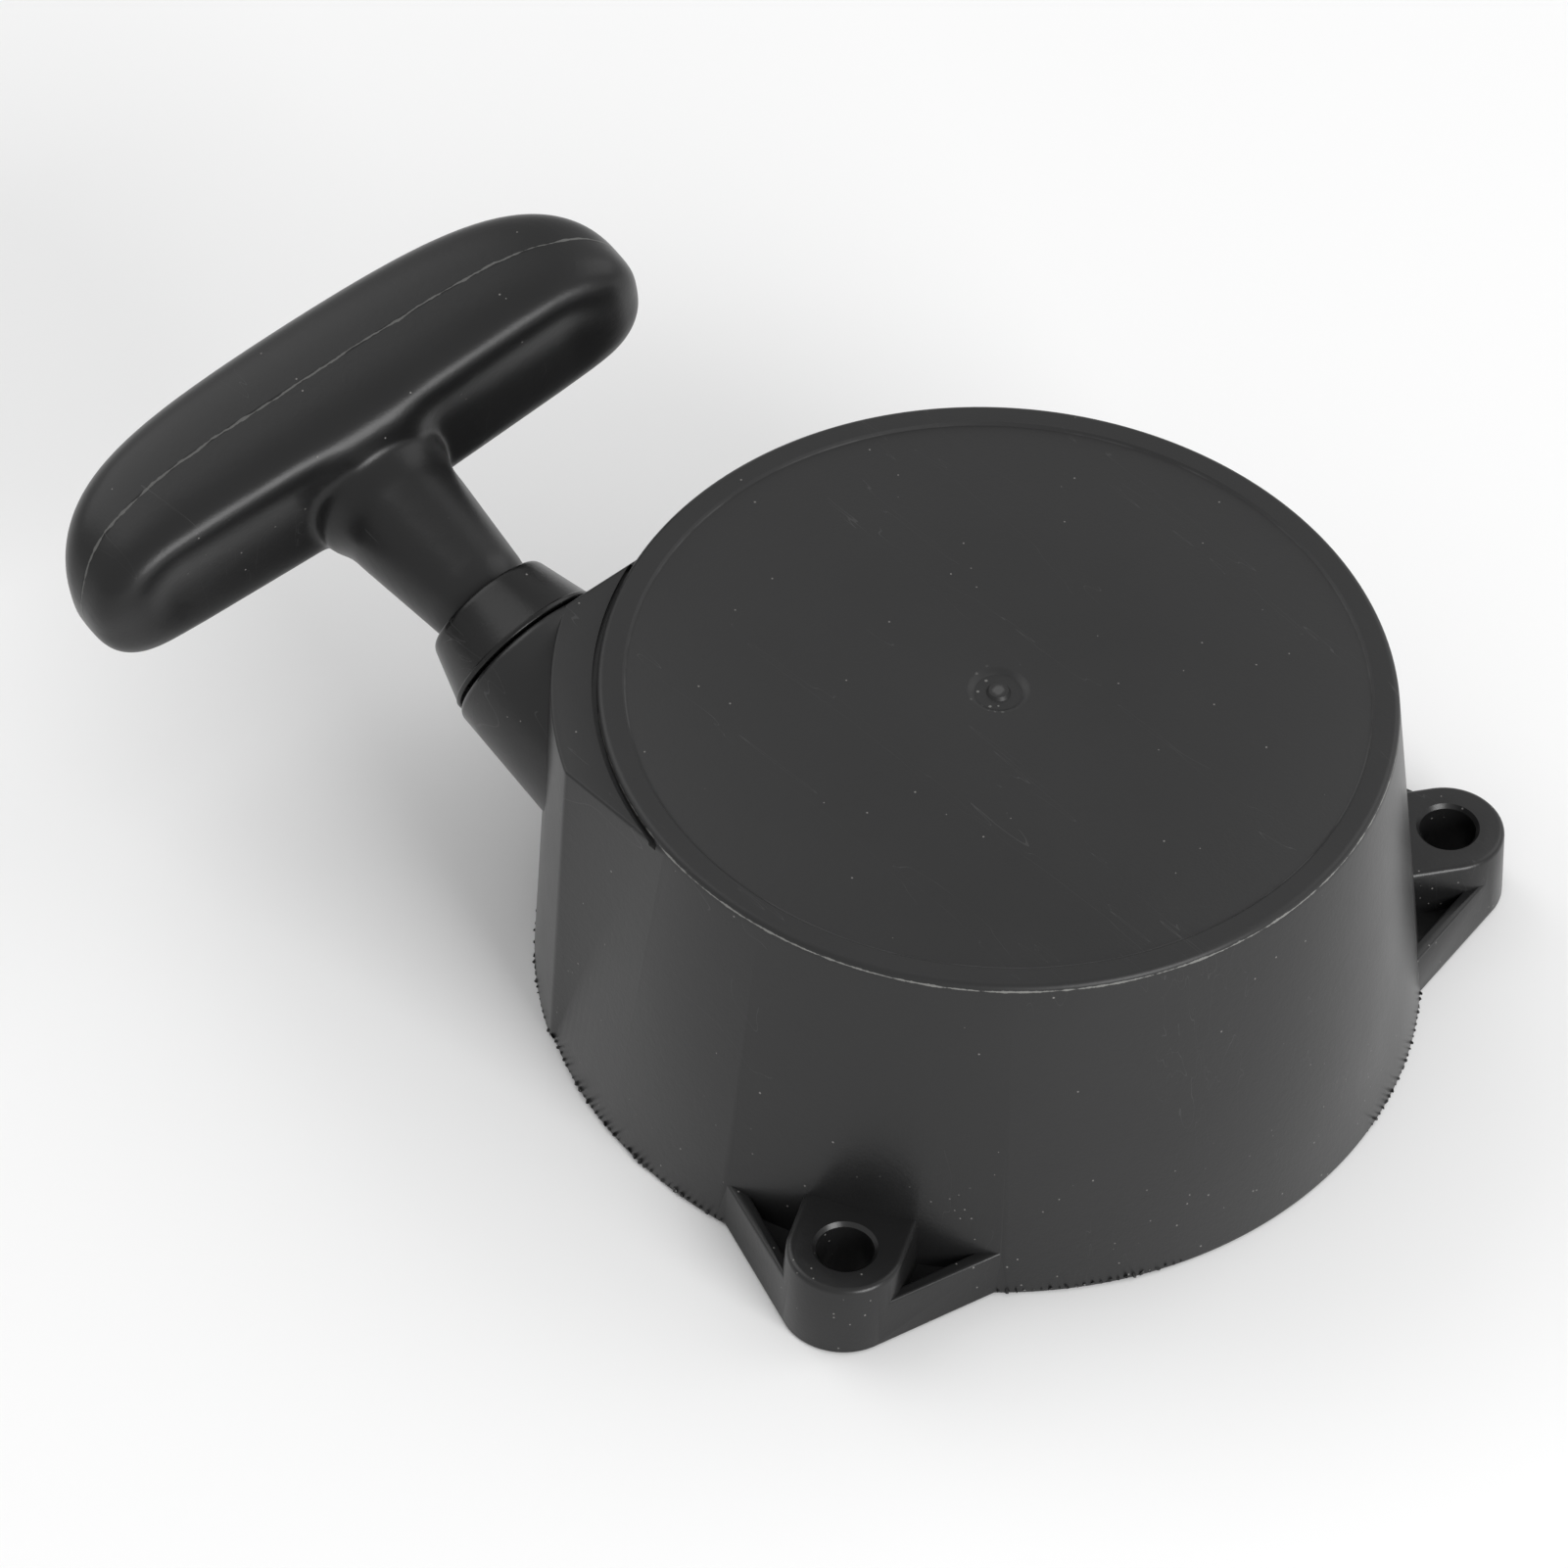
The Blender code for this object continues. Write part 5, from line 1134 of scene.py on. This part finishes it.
def dress_nodes(finishes):
    """Gives the nodes that keep their own shape their finishes."""
    slots = {part["node"]: part["material_slot"] for part in frame["record"]["subparts"]}
    replaced = {"casing", "rope_guide", "pull_handle", "rope_winding", "rope_lead", "rope_throat",
                "rope_tail", "handle_knot", "recoil_spring", "cover_screw_1", "cover_screw_2",
                "cover_screw_3"}
    for name, node in frame["nodes"].items():
        if name in replaced:
            continue
        for slot in node.material_slots:
            slot.material = finishes[slots[name]]


# ---------------------------------------------------------------- studio


def make_studio():
    floor_mesh = bpy.data.meshes.new("floor")
    bm = bmesh.new()
    bmesh.ops.create_grid(bm, x_segments=1, y_segments=1, size=3.0)
    bm.to_mesh(floor_mesh)
    bm.free()
    floor = bpy.data.objects.new("floor", floor_mesh)
    bpy.context.scene.collection.objects.link(floor)
    floor.location.z = -0.2 * MM
    tree = Tree("pale_floor")
    shade = tree.mix(tree.noise(3.0, 2.0), (0.86, 0.86, 0.86), (0.88, 0.88, 0.88))
    floor.data.materials.append(tree.finish(shade, 0.7))

    world = bpy.data.worlds.new("studio")
    bpy.context.scene.world = world
    world.use_nodes = True
    sky = world.node_tree.nodes["Background"]
    sky.inputs["Color"].default_value = (1.0, 1.0, 1.0, 1.0)
    sky.inputs["Strength"].default_value = 0.68
    bpy.context.scene.view_settings.view_transform = "Standard"

    # Each lamp's place, width and power. They all face the origin.
    lamps = {
        "left_softbox": ((-0.75, -0.15, 0.75), 0.8, 2.5),
        "back_softbox": ((0.2, 0.9, 0.8), 0.9, 2.5),
        "right_softbox": ((0.95, -0.1, 0.45), 0.5, 7.0),
    }
    for name, (place, size, power) in lamps.items():
        lamp = bpy.data.lights.new(name, "AREA")
        lamp.shape = "SQUARE"
        lamp.size = size
        lamp.energy = power
        obj = bpy.data.objects.new(name, lamp)
        bpy.context.scene.collection.objects.link(obj)
        obj.location = place
        obj.rotation_euler = Vector(place).to_track_quat("Z", "Y").to_euler()


def make_camera():
    """Stands off the front right of the cup, looking down at it."""
    lens = bpy.data.cameras.new("camera")
    lens.sensor_width = 36.0
    lens.lens = 221.8
    lens.clip_end = 20.0
    camera = bpy.data.objects.new("camera", lens)
    bpy.context.scene.collection.objects.link(camera)
    stand = Vector((541.7, -582.9, 880.5)) * MM
    aim = (43.004, -2.003, 46.848)
    camera.location = CUP_AXIS + stand
    camera.rotation_euler = tuple(math.radians(value) for value in aim)
    bpy.context.scene.camera = camera


make_camera()
make_studio()
make_cup(cup_finish())
make_guide(guide_finish())
make_handle(handle_finish())
make_rope(braid_finish())
metals = metal_finishes()
make_recoil_strip(metals["spring_steel"])
make_cover_screws(metals["plated_steel"])
make_flash_crumbs(bpy.data.materials["black_nylon_moulding"])
dress_nodes(metals)
for leftover in list(workshop.objects):
    bpy.data.objects.remove(leftover, do_unlink=True)
bpy.data.collections.remove(workshop)
